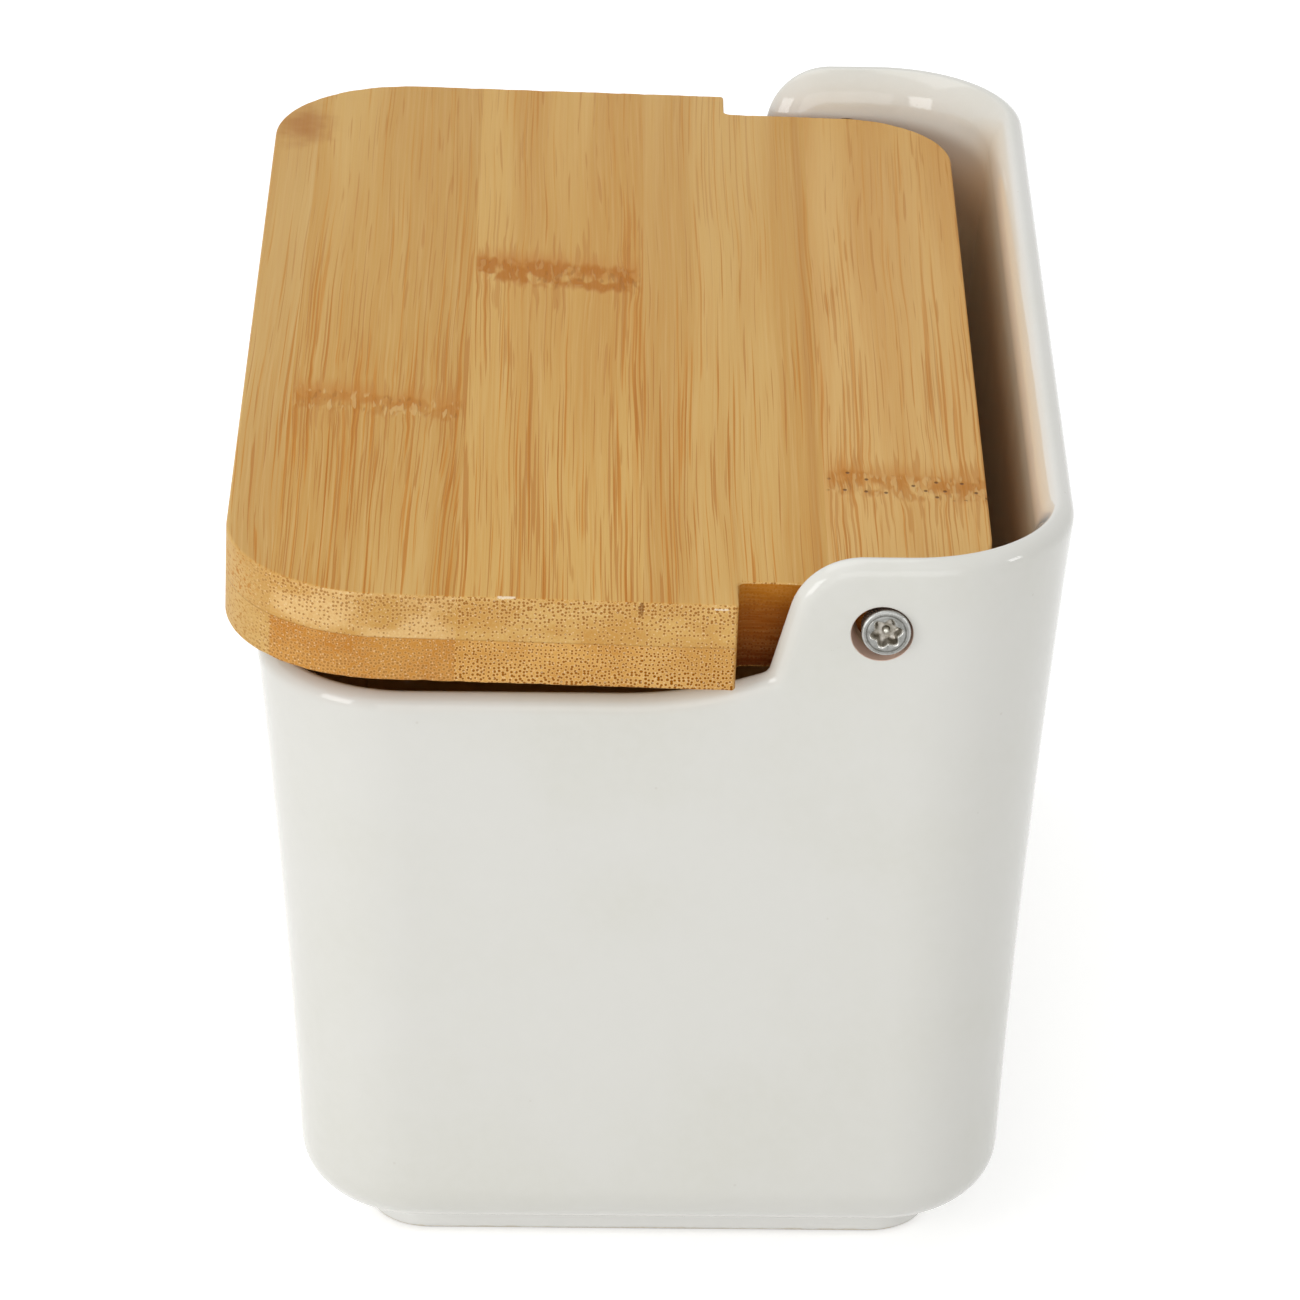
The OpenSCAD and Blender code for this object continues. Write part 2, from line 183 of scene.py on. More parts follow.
# Section of the rim: an outer arc, a tight crest and a wide inner arc. Its angle turns
# from 0 on the outer face to 180 on the inner one.
crest_from = 70.0
crest_to = 138.0
crest_radius = ((wall - rim_outer_radius * (1 - cosd(crest_from)) - rim_inner_radius * (1 + cosd(crest_to)))
                / (cosd(crest_from) - cosd(crest_to)))
outer_drop = rim_outer_radius * sind(crest_from) + crest_radius * (1 - sind(crest_from))
inner_drop = rim_inner_radius * sind(crest_to) + crest_radius * (1 - sind(crest_to))


def rim_inset(a):
    if a < crest_from:
        return rim_outer_radius * (1 - cosd(a))
    if a < crest_to:
        return rim_outer_radius * (1 - cosd(crest_from)) + crest_radius * (cosd(crest_from) - cosd(a))
    return wall - rim_inner_radius * (1 + cosd(a))


def rim_drop(a):
    if a < crest_from:
        return outer_drop - rim_outer_radius * sind(a)
    if a < crest_to:
        return crest_radius * (1 - sind(a))
    return inner_drop - rim_inner_radius * sind(a)


# Edge of the ear, a chain of arcs seen along X as (y, height above the rim)
ear_front_y = box_depth / 2 - ear_length
arc_rise = (ramp_radius * (1 - cosd(ramp_angle)) + heel_radius * (cosd(ramp_angle) - cosd(ear_steepness))
            + shoulder_radius * (1 - cosd(ear_steepness)))
flank = (ear_rise - arc_rise) / sind(ear_steepness)
ramp_run = ramp_radius * sind(ramp_angle)
heel_run = heel_radius * (sind(ear_steepness) - sind(ramp_angle))
ramp_start_y = ear_front_y - flank * cosd(ear_steepness) / 2 - heel_run - ramp_run
ramp_centre = (ramp_start_y, ramp_radius)
heel_centre = shifted(ramp_centre, ramp_radius - heel_radius, ramp_angle - 90)
flank_low = shifted(heel_centre, heel_radius, ear_steepness - 90)
flank_high = shifted(flank_low, flank, ear_steepness)
shoulder_centre = shifted(flank_high, shoulder_radius, ear_steepness - 90)


def ramp_height(y):
    return 0.0 if y <= ramp_start_y else ramp_radius - math.sqrt(ramp_radius ** 2 - (y - ramp_start_y) ** 2)


# -------- where the lid, the hinge and the holes lie
notch_y = ear_front_y - notch_gap
seat_z = rim_height + ramp_height(notch_y) + seat_gap
lid_rear_y = box_depth / 2 + flare(seat_z + lid_thickness) - wall - rear_gap
pivot_y = lid_rear_y - screw_setback
pivot_z = seat_z + (lid_thickness - screw_drop) * cosd(lid_tilt) - (pivot_y - notch_y) * sind(lid_tilt)
lid_half = box_length / 2 + end_overhang
rear_half = box_length / 2 + flare(pivot_z) - wall - ear_gap
lid_front = -box_depth / 2 - front_overhang - pivot_y
lid_rear = lid_rear_y - pivot_y
lid_notch = notch_y - pivot_y
lid_top = screw_drop
lid_bottom = screw_drop - lid_thickness
glue_line = screw_drop - lid_thickness / 2
head_face = box_length / 2 + flare(pivot_z) + head_reveal
head_shift = (hole_diameter - head_diameter) / 2 - head_clearance
# the glaze narrows the bore a little, away from the side on which the head lies
glaze_in_bore = 0.1
bore_radius = hole_diameter / 2 - glaze_in_bore
bore_y = pivot_y - (head_shift - glaze_in_bore) * cosd(head_lie)
bore_z = pivot_z - (head_shift - glaze_in_bore) * sind(head_lie)
# the middle of the part's outline lies over the origin
front_reach = pivot_y + lid_front * cosd(lid_tilt) + (lid_bottom + lid_bevel) * sind(lid_tilt)
back_reach = box_depth / 2 + flare(top_height - outer_drop)
middle_y = (front_reach + back_reach) / 2
# from the hinge's frame in millimetres to the part's frame in metres
hinge_place = (Matrix.Scale(MM, 4) @ Matrix.Translation((0, pivot_y - middle_y, pivot_z))
               @ Matrix.Rotation(math.radians(-lid_tilt), 4, "X"))


# -------- node trees
def linear(r, g, b):
    """A colour written as 0 to 255, for a node's socket."""
    def one(c):
        c /= 255.0
        return c / 12.92 if c <= 0.04045 else ((c + 0.055) / 1.055) ** 2.4
    return (one(r), one(g), one(b), 1.0)


class Field:
    """An output in a node tree. Plain arithmetic on it adds Math nodes."""

    def __init__(self, nodes, socket):
        self.nodes = nodes
        self.socket = socket

    def __abs__(self):
        return self.nodes.math("ABSOLUTE", self)

    def __add__(self, other):
        return self.nodes.math("ADD", self, other)

    def __sub__(self, other):
        return self.nodes.math("SUBTRACT", self, other)

    def __rsub__(self, other):
        return self.nodes.math("SUBTRACT", other, self)

    def __mul__(self, other):
        return self.nodes.math("MULTIPLY", self, other)


class Nodes:
    """A small builder of node trees. Its methods return fields."""

    def __init__(self, owner, output="ShaderNodeOutputMaterial"):
        owner.use_nodes = True
        self.owner = owner
        self.tree = owner.node_tree
        self.tree.nodes.clear()
        self.output = self.node(output)

    def node(self, kind, inputs=(), **settings):
        node = self.tree.nodes.new(kind)
        for name, value in settings.items():
            setattr(node, name, value)
        for key, value in dict(inputs).items():
            self.put(node.inputs[key], value)
        return node

    def put(self, socket, value):
        if isinstance(value, Field):
            self.tree.links.new(value.socket, socket)
        else:
            socket.default_value = value

    def field(self, node, output=0):
        return Field(self, node.outputs[output])

    def coordinates(self, which="Object"):
        return self.field(self.node("ShaderNodeTexCoord"), which)

    def mapping(self, vector, **settings):
        inputs = {"Vector": vector}
        inputs.update({name.capitalize(): value for name, value in settings.items()})
        return self.field(self.node("ShaderNodeMapping", inputs))

    def part_frame(self):
        """Millimetres in the part's own frame."""
        return self.mapping(self.coordinates(), scale=(1000, 1000, 1000))

    def hinge_frame(self):
        """Millimetres from the hinge axis, along and across the lid."""
        tilt = math.radians(lid_tilt)
        pivot = Matrix.Rotation(tilt, 3, "X") @ Vector((0, pivot_y - middle_y, pivot_z)) * MM
        turned = self.mapping(self.coordinates(), location=tuple(-pivot), rotation=(tilt, 0, 0))
        return self.mapping(turned, scale=(1000, 1000, 1000))

    def math(self, operation, *values):
        return self.field(self.node("ShaderNodeMath", enumerate(values), operation=operation))

    def larger(self, a, b):
        return self.math("MAXIMUM", a, b)

    def smaller(self, a, b):
        return self.math("MINIMUM", a, b)

    def length(self, a, b):
        return self.math("SQRT", a * a + b * b)

    def split(self, vector):
        return [Field(self, output) for output in self.node("ShaderNodeSeparateXYZ", {0: vector}).outputs]

    def join(self, x, y, z):
        return self.field(self.node("ShaderNodeCombineXYZ", {0: x, 1: y, 2: z}))

    def noise(self, vector, scale=1.0, detail=2.0, rough=0.5):
        inputs = {"Vector": vector, "Scale": scale, "Detail": detail, "Roughness": rough}
        return self.field(self.node("ShaderNodeTexNoise", inputs))

    def cells(self, vector, scale, spill=1.0, dims="2D"):
        """Scattered points: the distance to the nearest one, and a chance value of its own."""
        inputs = {"Vector": vector, "Scale": scale, "Randomness": spill}
        node = self.node("ShaderNodeTexVoronoi", inputs, feature="F1", voronoi_dimensions=dims)
        return self.field(node, "Distance"), self.split(self.field(node, "Color"))[0]

    def step(self, value, low, high, to_low=0.0, to_high=1.0, kind="SMOOTHSTEP"):
        """From to_low, where the value is low, to to_high, where it is high."""
        inputs = {"Value": value, "From Min": low, "From Max": high, "To Min": to_low, "To Max": to_high}
        return self.field(self.node("ShaderNodeMapRange", inputs, interpolation_type=kind), "Result")

    def fall(self, value, low, high, amount=1.0):
        """From the amount, where the value is low, to 0, where it is high."""
        return self.step(value, low, high, amount, 0.0)

    def mix(self, factor, a, b):
        """A blend of two colours. Each is a field or is written as 0 to 255."""
        a, b = (c if isinstance(c, Field) else linear(*c) for c in (a, b))
        return self.field(self.node("ShaderNodeMix", {0: factor, 6: a, 7: b}, data_type="RGBA"), 2)

    def paint(self, factor, colour):
        """Lay a colour over the tone so far."""
        self.tone = self.mix(factor, self.tone, colour)

    def bump(self, height, strength, distance):
        inputs = {"Height": height, "Strength": strength, "Distance": distance}
        return self.field(self.node("ShaderNodeBump", inputs))

    def shader(self, kind, **sockets):
        inputs = {name.replace("_", " "): value for name, value in sockets.items()}
        return self.field(self.node(kind, inputs))

    def principled(self, **sockets):
        shader = self.shader("ShaderNodeBsdfPrincipled", Base_Color=self.tone, **sockets)
        self.put(self.output.inputs[0], shader)

    def background_rays(self):
        """1 for the rays that see the background: from the camera, reflected or passed on."""
        path = self.node("ShaderNodeLightPath")
        mirrored = self.larger(self.field(path, "Is Glossy Ray"), self.field(path, "Is Transmission Ray"))
        return self.larger(self.field(path, "Is Camera Ray"), mirrored)


# -------- the glaze
def inner_surface(m, x, y, z):
    """1 on the inside of the walls, from how far a point lies inside the outer face."""
    out = z * z * (lean_gain / 2) + z * tand(lean_low) + flare(0)
    radius = out * corner_rate + corner_radius
    beyond = out - radius
    past_x = abs(x) - (beyond + box_length / 2)
    past_y = abs(y + middle_y) - (beyond + box_depth / 2)
    far = m.length(m.larger(past_x, 0.0), m.larger(past_y, 0.0)) + m.smaller(m.larger(past_x, past_y), 0.0)
    return m.fall(far - radius, -wall * 0.75, -wall * 0.55) * m.step(z, foot_height + 1.5, foot_height + 2.5)


def glaze_material():
    m = Nodes(bpy.data.materials.new("glaze"))
    p = m.part_frame()
    x, y, z = m.split(p)
    cloud = m.noise(p, 0.035, 3, 0.55)
    # an off-white that varies a little, with sparse faint iron specks
    m.tone = m.mix(m.step(cloud, 0.35, 0.65), (226, 225, 219), (223, 222, 214))
    m.paint(m.step(m.noise(p, 0.6), 0.3, 0.7, 0.0, 0.25), (228, 227, 221))
    speck, _ = m.cells(p, 0.16, dims="3D")
    m.paint(m.fall(speck, 0.02, 0.04, 0.2), (190, 182, 168))
    # bare clay under the foot ring
    bare = m.fall(z + m.step(m.noise(p, 0.5), 0.3, 0.7, -0.12, 0.12), 0.35, 0.6)
    clay = m.mix(m.noise(p, 3.0, 4, 0.65), (214, 205, 188), (236, 230, 218))
    m.paint(bare, clay)
    # painted light round the foot: the tone is paler towards the bottom, to lift the shade there
    low = m.fall(cloud * 2.0 + z, 3.0, 11.0, 0.85)
    m.paint(low * (1.0 - bare), (242, 241, 237))
    # painted light in the hinge bores: a pale pinkish tone that stands in for warm light bounced in from the
    # bamboo and lifts their shade
    from_axis = m.length(y - (bore_y - middle_y), z - bore_z)
    inner_face = surface_x(bore_y, bore_z, -wall)
    bore = (m.fall(from_axis, bore_radius + 0.02, bore_radius + 0.09)
            * m.step(abs(x), inner_face + 0.8, inner_face + 1.2))
    m.paint(bore * 0.95, (248, 212, 190))
    # painted reflected light inside: a warm cream that stands in for light bounced off the bamboo lid, and
    # reaches higher on the back wall than on the ears
    reach = cloud * 3.0 + z - m.fall(abs(x), 58.0, 74.0, 6.0)
    wood_bounce_tint = m.mix(m.fall(reach, 78.0, 92.0), (234, 209, 174), (236, 203, 158))
    m.paint(inner_surface(m, x, y, z) * m.fall(reach, 88.0, 100.0), wood_bounce_tint)
    # glossy where glazed, with long waves and a fine orange peel
    rough = m.larger(m.step(cloud, 0.3, 0.7, 0.05, 0.09), m.larger(bare, bore) * 0.8)
    height = m.noise(p, 0.05, 1.5, 0.4) + m.noise(p, 0.45, 1.0, 0.4) * 0.035
    height = height + m.noise(p, 6.0, 3, 0.6) * bare * 0.12
    m.principled(Roughness=rough, Normal=m.bump(height, 0.5, 0.00025), IOR=1.5)
    return m.owner


# -------- the bamboo
# A growth ring across a strip: where it crosses, from front to back, how it slants, its half width,
# how brown it is from 0 to 1, and whether it is pitted
Knuckle = namedtuple("Knuckle", "x front back slope half brown pitted")
# A darker stripe along a joint; a stain and a chip on the near end; a smudge on the top face
Stripe = namedtuple("Stripe", "y width amount")
Stain = namedtuple("Stain", "y width low amount")
Chip = namedtuple("Chip", "front back z")
Smudge = namedtuple("Smudge", "x y radius amount")
# What sets a strip apart: colours of its broad bands, its streaks and its ends, and how dark its vessels are
Strip = namedtuple("Strip", "seed light mid streak vessels ends knuckles stripes stains chips smudges",
                   defaults=(None, (), (), (), (), ()))


class Bamboo(Nodes):
    """Bamboo as a solid, in the hinge's frame: its fibres run along X. Faces across the fibres show
    vessels, and the others show streaks."""

    def __init__(self, name, is_top, strip):
        super().__init__(bpy.data.materials.new(name))
        self.is_top = is_top
        self.strip = strip
        self.place = self.hinge_frame()
        self.x, self.y, self.z = self.split(self.place)
        normal = self.split(self.coordinates("Normal"))
        self.facing_x = abs(normal[0])
        self.upright = self.fall(abs(normal[2]), 0.3, 0.5)
        self.end = self.step(self.facing_x, 0.45, 0.75)
        self.side = 1.0 - self.end
        self.relief = None
        self.bend_fibres()
        self.ground()
        self.streaks()
        for ring in self.rings:
            self.knuckle(*ring)
        self.paint(self.end, self.sawn_end())
        self.paint_rear_shade()
        self.marks()
        seam = self.fall(abs(self.z - glue_line), 0.03, 0.16, 0.28)
        self.paint(seam, (140, 88, 40))
        rough = self.step(self.main, 0.3, 0.8, 0.47, 0.56) + self.end * 0.16
        normal = self.bump(self.surface_height(), 0.55, 0.00009)
        self.principled(Roughness=rough, Normal=normal, IOR=1.45, Specular_IOR_Level=0.1)

    def noise_along(self, y, z, fx, fy, shift, detail=1.0, rough=0.5):
        """Noise drawn out along the fibres: fx and fy are its rates along them and across."""
        place = self.join(self.x * fx, y * fy, z * fy + (self.strip.seed + shift))
        return self.noise(place, 1.0, detail, rough)

    def fibre(self, *rates):
        return self.noise_along(self.bent_y, self.bent_z, *rates)

    def blotch(self, fx, fy, shift, detail, rough=0.5, y=None):
        """Noise over the broad faces alone."""
        place = self.join(self.x * fx, (y or self.y) * fy, self.strip.seed + shift)
        return self.noise(place, 1.0, detail, rough)

    def bend_fibres(self):
        """The fibres lean and bend a little, and more beside a knuckle."""
        x, y, z = self.x, self.y, self.z
        sway = (self.noise_along(y, z, 0.010, 0.03, 0.0) - 0.5) * 4.0
        sway = sway + (self.noise_along(y, z, 0.030, 0.16, 3.3) - 0.5) * 0.7
        self.rings = []
        for k in self.strip.knuckles:
            jag = self.blotch(0.03, 0.30, k.x, 2.0, 0.6) - 0.5
            along = x - (y * k.slope + (k.x - k.slope * (k.front + k.back) / 2)) + jag * 3.4
            inside = self.step(y, k.front - 0.3, k.front + 0.9) * self.fall(y, k.back - 0.9, k.back + 0.3)
            self.rings.append((k, along, inside * self.side))
            beside = self.fall(abs(along), 1.0, 20.0) * inside
            sway = sway + (self.noise_along(y, z, 0.11, 0.4, 7.7) - 0.5) * beside * 0.9
        self.sway = sway
        self.bent_y = y + sway
        self.bent_z = sway * 0.3 + z

    def ground(self):
        """Broad soft bands, then fine pale and dark fibres. The far end and the rear strips are softer."""
        self.crisp = self.step(self.x, -50.0, 45.0, 0.55, 1.0)
        if self.is_top:
            self.crisp = self.crisp * self.step(self.y, -12.0, -3.0, 1.0, 0.78)
        strip = self.strip
        pale = self.mix(0.5, strip.light, (232, 196, 136))
        broad = self.fibre(0.006, 0.16, 1.1)
        self.tone = self.mix(self.step(broad, 0.36, 0.64), strip.light, strip.mid)
        self.fine = self.fibre(0.03, 2.8, 2.2, 2.0, 0.6)
        self.hair = self.fibre(0.07, 6.5, 4.4)
        self.paint(self.step(self.fine, 0.50, 0.74, 0.0, 0.30) * self.crisp, strip.streak)
        self.paint(self.fall(self.fine, 0.28, 0.50, 0.42) * self.crisp, pale)
        self.paint(self.step(self.hair, 0.5, 0.8, 0.0, 0.18) * self.crisp, strip.streak)

    def streaks(self):
        """Long tapering streaks, gathered in clumps, with darker cores and thin lines."""
        clump = self.fibre(0.012, 0.20, 5.9, 1.5)
        edge = self.step(clump, 0.38, 0.66, 0.66, 0.535, "LINEAR")
        edge = edge + self.step(self.x, -60.0, 50.0, 0.06, -0.01)
        self.main = self.fibre(0.018, 2.7, 8.8, 0.6)
        self.line = self.step(self.fibre(0.028, 3.9, 6.1, 0.6) - edge, 0.0, 0.05)
        streak = self.step(self.main - edge, 0.0, 0.07)
        core = self.step(self.main - edge, 0.06, 0.15)
        self.paint(streak * 0.66 * self.crisp, self.strip.streak)
        self.paint(core * 0.34 * self.crisp, (174, 106, 34))
        self.paint(self.line * 0.60 * self.crisp, (184, 116, 42))

    def knuckle(self, k, along, inside):
        """One growth ring: streaks run out of it, a haze lies on its far side, and its band is ragged."""
        away = abs(along)
        reach = self.fall(along, k.half, k.half + 13.0) * self.step(along, -k.half - 9.0, -k.half) * inside
        dash = self.blotch(0.055, 1.9, 31.0 + k.x, 0.8, y=self.bent_y)
        self.paint(self.step(reach * 0.12 + dash, 0.64, 0.72) * 0.5, (190, 128, 58))
        haze = self.step(along, -k.half - 4.5, -k.half * 0.5) * self.fall(along, -k.half * 0.3, k.half * 0.4)
        patch = self.step(self.blotch(0.07, 0.28, 3.0 + k.x, 1.0), 0.35, 0.6, 0.25, 0.75)
        self.paint(haze * inside * patch, (198, 134, 60))
        # the band: soft brown patches, pale raised flecks and thin dark marks
        width = away + (self.blotch(0.2, 0.9, k.x, 1.5) * 4.4 - 2.2)
        band = self.fall(width, k.half * 0.55, k.half) * inside
        blot = self.blotch(0.24, 0.42, 9.0 + k.x, 1.5, 0.6)
        blot = band * self.step(blot, 0.44 - 0.08 * k.brown, 0.56 - 0.06 * k.brown)
        self.paint(blot * (0.34 + 0.54 * k.brown), (184, 114, 32))
        fleck = self.blotch(0.26, 1.35, 5.0 + k.x, 1.2, 0.6, y=self.bent_y)
        pale = self.step(fleck, 0.56, 0.64) * band
        self.paint(pale * (0.60 - 0.38 * k.brown), (226, 188, 124))
        dim = self.fall(fleck, 0.31, 0.40) * band
        self.paint(dim * 0.46, (162, 104, 36))
        rise = pale - (dim + blot) * 0.5
        if k.pitted:
            apart, _ = self.cells(self.join(self.x * 0.30 + self.strip.seed, self.y * 0.40, 0.0), 1.0, 0.9)
            pit = self.fall(apart, 0.06, 0.13) * self.fall(away, 2.8, 3.4) * inside
            self.paint(pit * 0.8, (92, 56, 24))
            rise = rise - pit * 1.5
        self.relief = rise if self.relief is None else self.relief + rise

    def sawn_end(self):
        """A face across the fibres, sanded, with dark vessels that lie dense towards the outer face."""
        x, y, z, strip = self.x, self.y, self.z, self.strip
        depth = self.step(z, lid_top if self.is_top else lid_bottom, glue_line, kind="LINEAR")
        apart, chance = self.cells(self.join(self.sway * 0.15 + y, z, 0.0), 1.95, 0.62)
        thinning = 0.78 if self.is_top else 0.18
        keep = self.step(chance - (depth * thinning - 0.12), -0.08, 0.08)
        size = self.step(depth, 0.0, 1.0, 0.41, 0.30) * (chance * 0.35 + 0.8)
        self.vessel = self.fall(apart, size * 0.6, size) * keep
        ring = self.fall(apart, size, size * 1.6) * keep
        self.grain = self.noise(self.join(x * 0.6, y, z), 3.6, 3.0, 0.62)
        cloud = self.noise(self.join(x * 0.1, y * 0.5, z), 0.3)
        face = self.mix(self.step(cloud, 0.35, 0.65), strip.mid, strip.ends or strip.light)
        face = self.mix(self.step(self.grain, 0.35, 0.7, 0.0, 0.30), face, strip.streak)
        face = self.mix(self.fall(self.grain, 0.25, 0.45, 0.35), face, (234, 200, 146))
        # painted highlight: a pale ring round each vessel
        face = self.mix(ring * (0.5 * strip.vessels), face, (240, 200, 136))
        face = self.mix(self.vessel * strip.vessels, face, (150, 86, 2))
        speck, _ = self.cells(self.join(y, z, 0.0), 1.1)
        return self.mix(self.fall(speck, 0.07, 0.13, 0.55), face, (244, 216, 168))

    def paint_rear_shade(self):
        """Painted shade on the upright faces of the narrow rear part, over a deeper orange of the cut wood:
        darker further down, where the ears and the box shade them.
        """
        rear_shade_mask = self.upright * self.step(self.y, lid_notch - 0.3, lid_notch + 0.1)
        rear_shade_mask = rear_shade_mask * self.step(self.facing_x, 0.2, 0.7, 0.25, 1.0)
        shade_patchiness = self.noise(self.join((self.y + self.x) * 0.25, self.z * 3.0, self.strip.seed))
        height = (self.grain - 0.5) * 3.0 + self.z
        # painted shade, darkest at the foot of the faces
        rear_shade = self.mix(self.fall(height, -1.5, 2.6), (184, 114, 26), (148, 77, 5))
        rear_shade = self.mix(self.fall(height, -8.0, -1.0), rear_shade, (98, 40, 4))
        self.paint(rear_shade_mask * self.step(shade_patchiness, 0.3, 0.7, 0.84, 0.99), rear_shade)

    def marks(self):
        """Darker stripes beside a joint, stains on the near end, chips along its upper edge, and smudges."""
        x, y, z = self.x, self.y, self.z
        for stripe in self.strip.stripes:
            away = abs(self.sway * 0.10 + y - stripe.y)
            mark = self.fall(away, stripe.width * 0.25, stripe.width) * self.side
            self.paint(mark * stripe.amount, (186, 126, 60))
        for stain in self.strip.stains:
            away = abs(y - stain.y + (self.grain - 0.5) * (stain.width * 2.0))
            mark = self.fall(away, stain.width * 0.3, stain.width) * self.end * self.step(x, 0.0, 1.0)
            mark = mark * self.step(z, stain.low, stain.low + 1.2)
            self.paint(mark * stain.amount, (120, 72, 30))
        for chip in self.strip.chips:
            mark = (self.step(y, chip.front - 0.15, chip.front + 0.15)
                    * self.fall(y, chip.back - 0.15, chip.back + 0.15))
            away = abs(self.grain * 0.5 + z - (chip.z + 0.25))
            mark = mark * self.fall(away, 0.05, 0.15) * self.step(x, lid_half - 0.65, lid_half - 0.4)
            self.paint(mark * 0.8, (250, 232, 204))
        for smudge in self.strip.smudges:
            far = self.length(x - smudge.x, (y - smudge.y) * 1.7)
            far = self.noise(self.place, 0.3) * (smudge.radius * 0.9) + far
            mark = self.fall(far, smudge.radius * 0.4, smudge.radius * 1.6, smudge.amount)
            self.paint(mark, (178, 120, 58))

    def surface_height(self):
        """Height for the bump: fibres and knuckles on the broad faces, grain and vessels on the ends."""
        height = self.fine * 0.55 + self.hair * 0.3 - self.line * 0.22
        if self.relief is not None:
            height = height + self.relief * 1.1
        return height * self.side + (self.grain - self.vessel * 0.2) * (self.end * 0.8)


# -------- the zinc plating
def zinc_material():
    m = Nodes(bpy.data.materials.new("zinc"))
    p = m.hinge_frame()
    x, y, z = m.split(p)
    far = m.length(y, z)
    deep = head_face - abs(x)
    cloud = m.noise(p, 1.1, 3.0, 0.6)
    fine = m.noise(p, 7.0, 2.0, 0.6)
    turned = m.node("ShaderNodeTexNoise", {"Vector": m.join(far * 9.0, deep * 9.0, 0.0), "Scale": 1.0,
                                           "Detail": 2.0, "Roughness": 0.6}, noise_dimensions="2D")
    m.tone = m.mix(m.step(cloud, 0.3, 0.7), (126, 126, 122), (154, 154, 151))
    m.paint(m.step(fine, 0.56, 0.76, 0.0, 0.6), (92, 88, 80))
    # dull plating in the drive
    pit = m.step(deep, 0.10, 0.40) * m.fall(far, recess_width / 2 + 0.1, recess_width / 2 + 0.25)
    dull = m.mix(m.step(cloud, 0.35, 0.6), (126, 118, 104), (188, 182, 172))
    m.paint(pit * 0.8, dull)
    # painted highlights along the drive's mouth, on the pip in its middle and on the rim of the head
    brim = m.step(far, 1.2, 1.4) * m.fall(far, 2.0, 2.1) * m.step(deep, 0.02, 0.08) * m.fall(deep, 0.25, 0.45)
    m.paint(brim * 0.85, (240, 239, 234))
    pip = m.fall(far, 0.36, 0.46) * m.fall(deep, 0.95, 1.2)
    m.paint(pip * 0.85, (222, 220, 210))
    rim_highlight = m.step(far, 2.62, 2.80) * m.fall(deep, 0.3, 0.9)
    m.paint(rim_highlight * 0.5, (200, 200, 197))
    # painted shade in the groove of the face and on the neck under the head
    groove = m.fall(abs(far - 2.37), 0.04, 0.12) * m.fall(deep, 0.3, 0.5)
    m.paint(groove * 0.5, (84, 80, 72))
    neck = m.step(deep, head_height - 0.3, head_height)
    m.paint(neck * 0.4, (120, 116, 108))
    rough = pit * 0.12 + m.step(cloud, 0.3, 0.7, 0.22, 0.36)
    height = m.field(turned) * 0.8 + fine * 0.5 + cloud * 0.8
    m.principled(Roughness=rough, Normal=m.bump(height, 0.5, 0.00005), Metallic=1.0)
    return m.owner


# -------- meshes and pieces
def fill_mesh(mesh, bm, sharp=None):
    """Write a bmesh into a mesh, smooth, with outward normals, and sharp past an angle where one is given."""
    bmesh.ops.recalc_face_normals(bm, faces=bm.faces)
    bm.to_mesh(mesh)
    bm.free()
    for polygon in mesh.polygons:
        polygon.use_smooth = True
    if sharp:
        mesh.set_sharp_from_angle(angle=math.radians(sharp))


def add_piece(name, mesh, body, node, material):
    """Show a mesh as the piece that stands for a CAD node."""
    piece = bpy.data.objects.new(name, mesh)
    bpy.context.scene.collection.objects.link(piece)
    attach(piece, body)
    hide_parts(node)
    piece.data.materials.append(material)


# -------- the ceramic box: the columns of its skin
class Column:
    """One upright line of the skin. plan gives its place at an offset from the rim line, and edge is
    where it ends, as (y, height above the low rim, direction). On an end wall it can lie at any y."""

    def __init__(self, plan, edge, end_side=0, foot_share=0.0):
        self.plan = plan
        self.edge = edge
        self.end_side = end_side
        self.foot_y = foot_share * straight_half(flare(belt_z))

    def point(self, d, y, z):
        if self.end_side:
            return self.end_side * (box_length / 2 + d), y, z
        return (*self.plan(d), z)

    def below_edge(self, drop):
        """Place that lies a distance below the crest, square to the edge."""
        y, rise, direction = self.edge
        return y + drop * sind(direction), rim_height + rise - drop * cosd(direction)


def corner_columns(quarter):
    """Quarters 0 to 3 are the front right, back right, back left and front left corners."""
    side_x = 1 if quarter in (0, 1) else -1
    side_y = -1 if quarter in (0, 3) else 1

    def column(angle):
        def plan(d):
            r = plan_radius(d)
            return (side_x * (box_length / 2 + d - r) + r * cosd(angle),
                    side_y * (box_depth / 2 + d - r) + r * sind(angle))
        return Column(plan, (0.0, ear_rise if side_y > 0 else 0.0, 0.0))
    return [column(angle) for angle in spread(90 * quarter - 90, 90 * quarter, 22)]


def long_columns(side):
    """Columns of the back wall, where side is 1, or the front wall, where it is -1."""
    def column(share):
        def plan(d):
            return share * (box_length / 2 + d - plan_radius(d)), side * (box_depth / 2 + d)
        return Column(plan, (0.0, ear_rise if side > 0 else 0.0, 0.0))
    return [column(share) for share in spread(side, -side, 24)[1:-1]]


def end_columns(side, edges):
    """Columns of an end wall. Their feet stand upright below the outer edge."""
    def column(edge):
        share = (edge[0] + outer_drop * sind(edge[2])) / straight_half(flare(belt_z))

        def plan(d):
            return side * (box_length / 2 + d), share * straight_half(d)
        return Column(plan, edge, side, share)
    return [column(edge) for edge in edges]


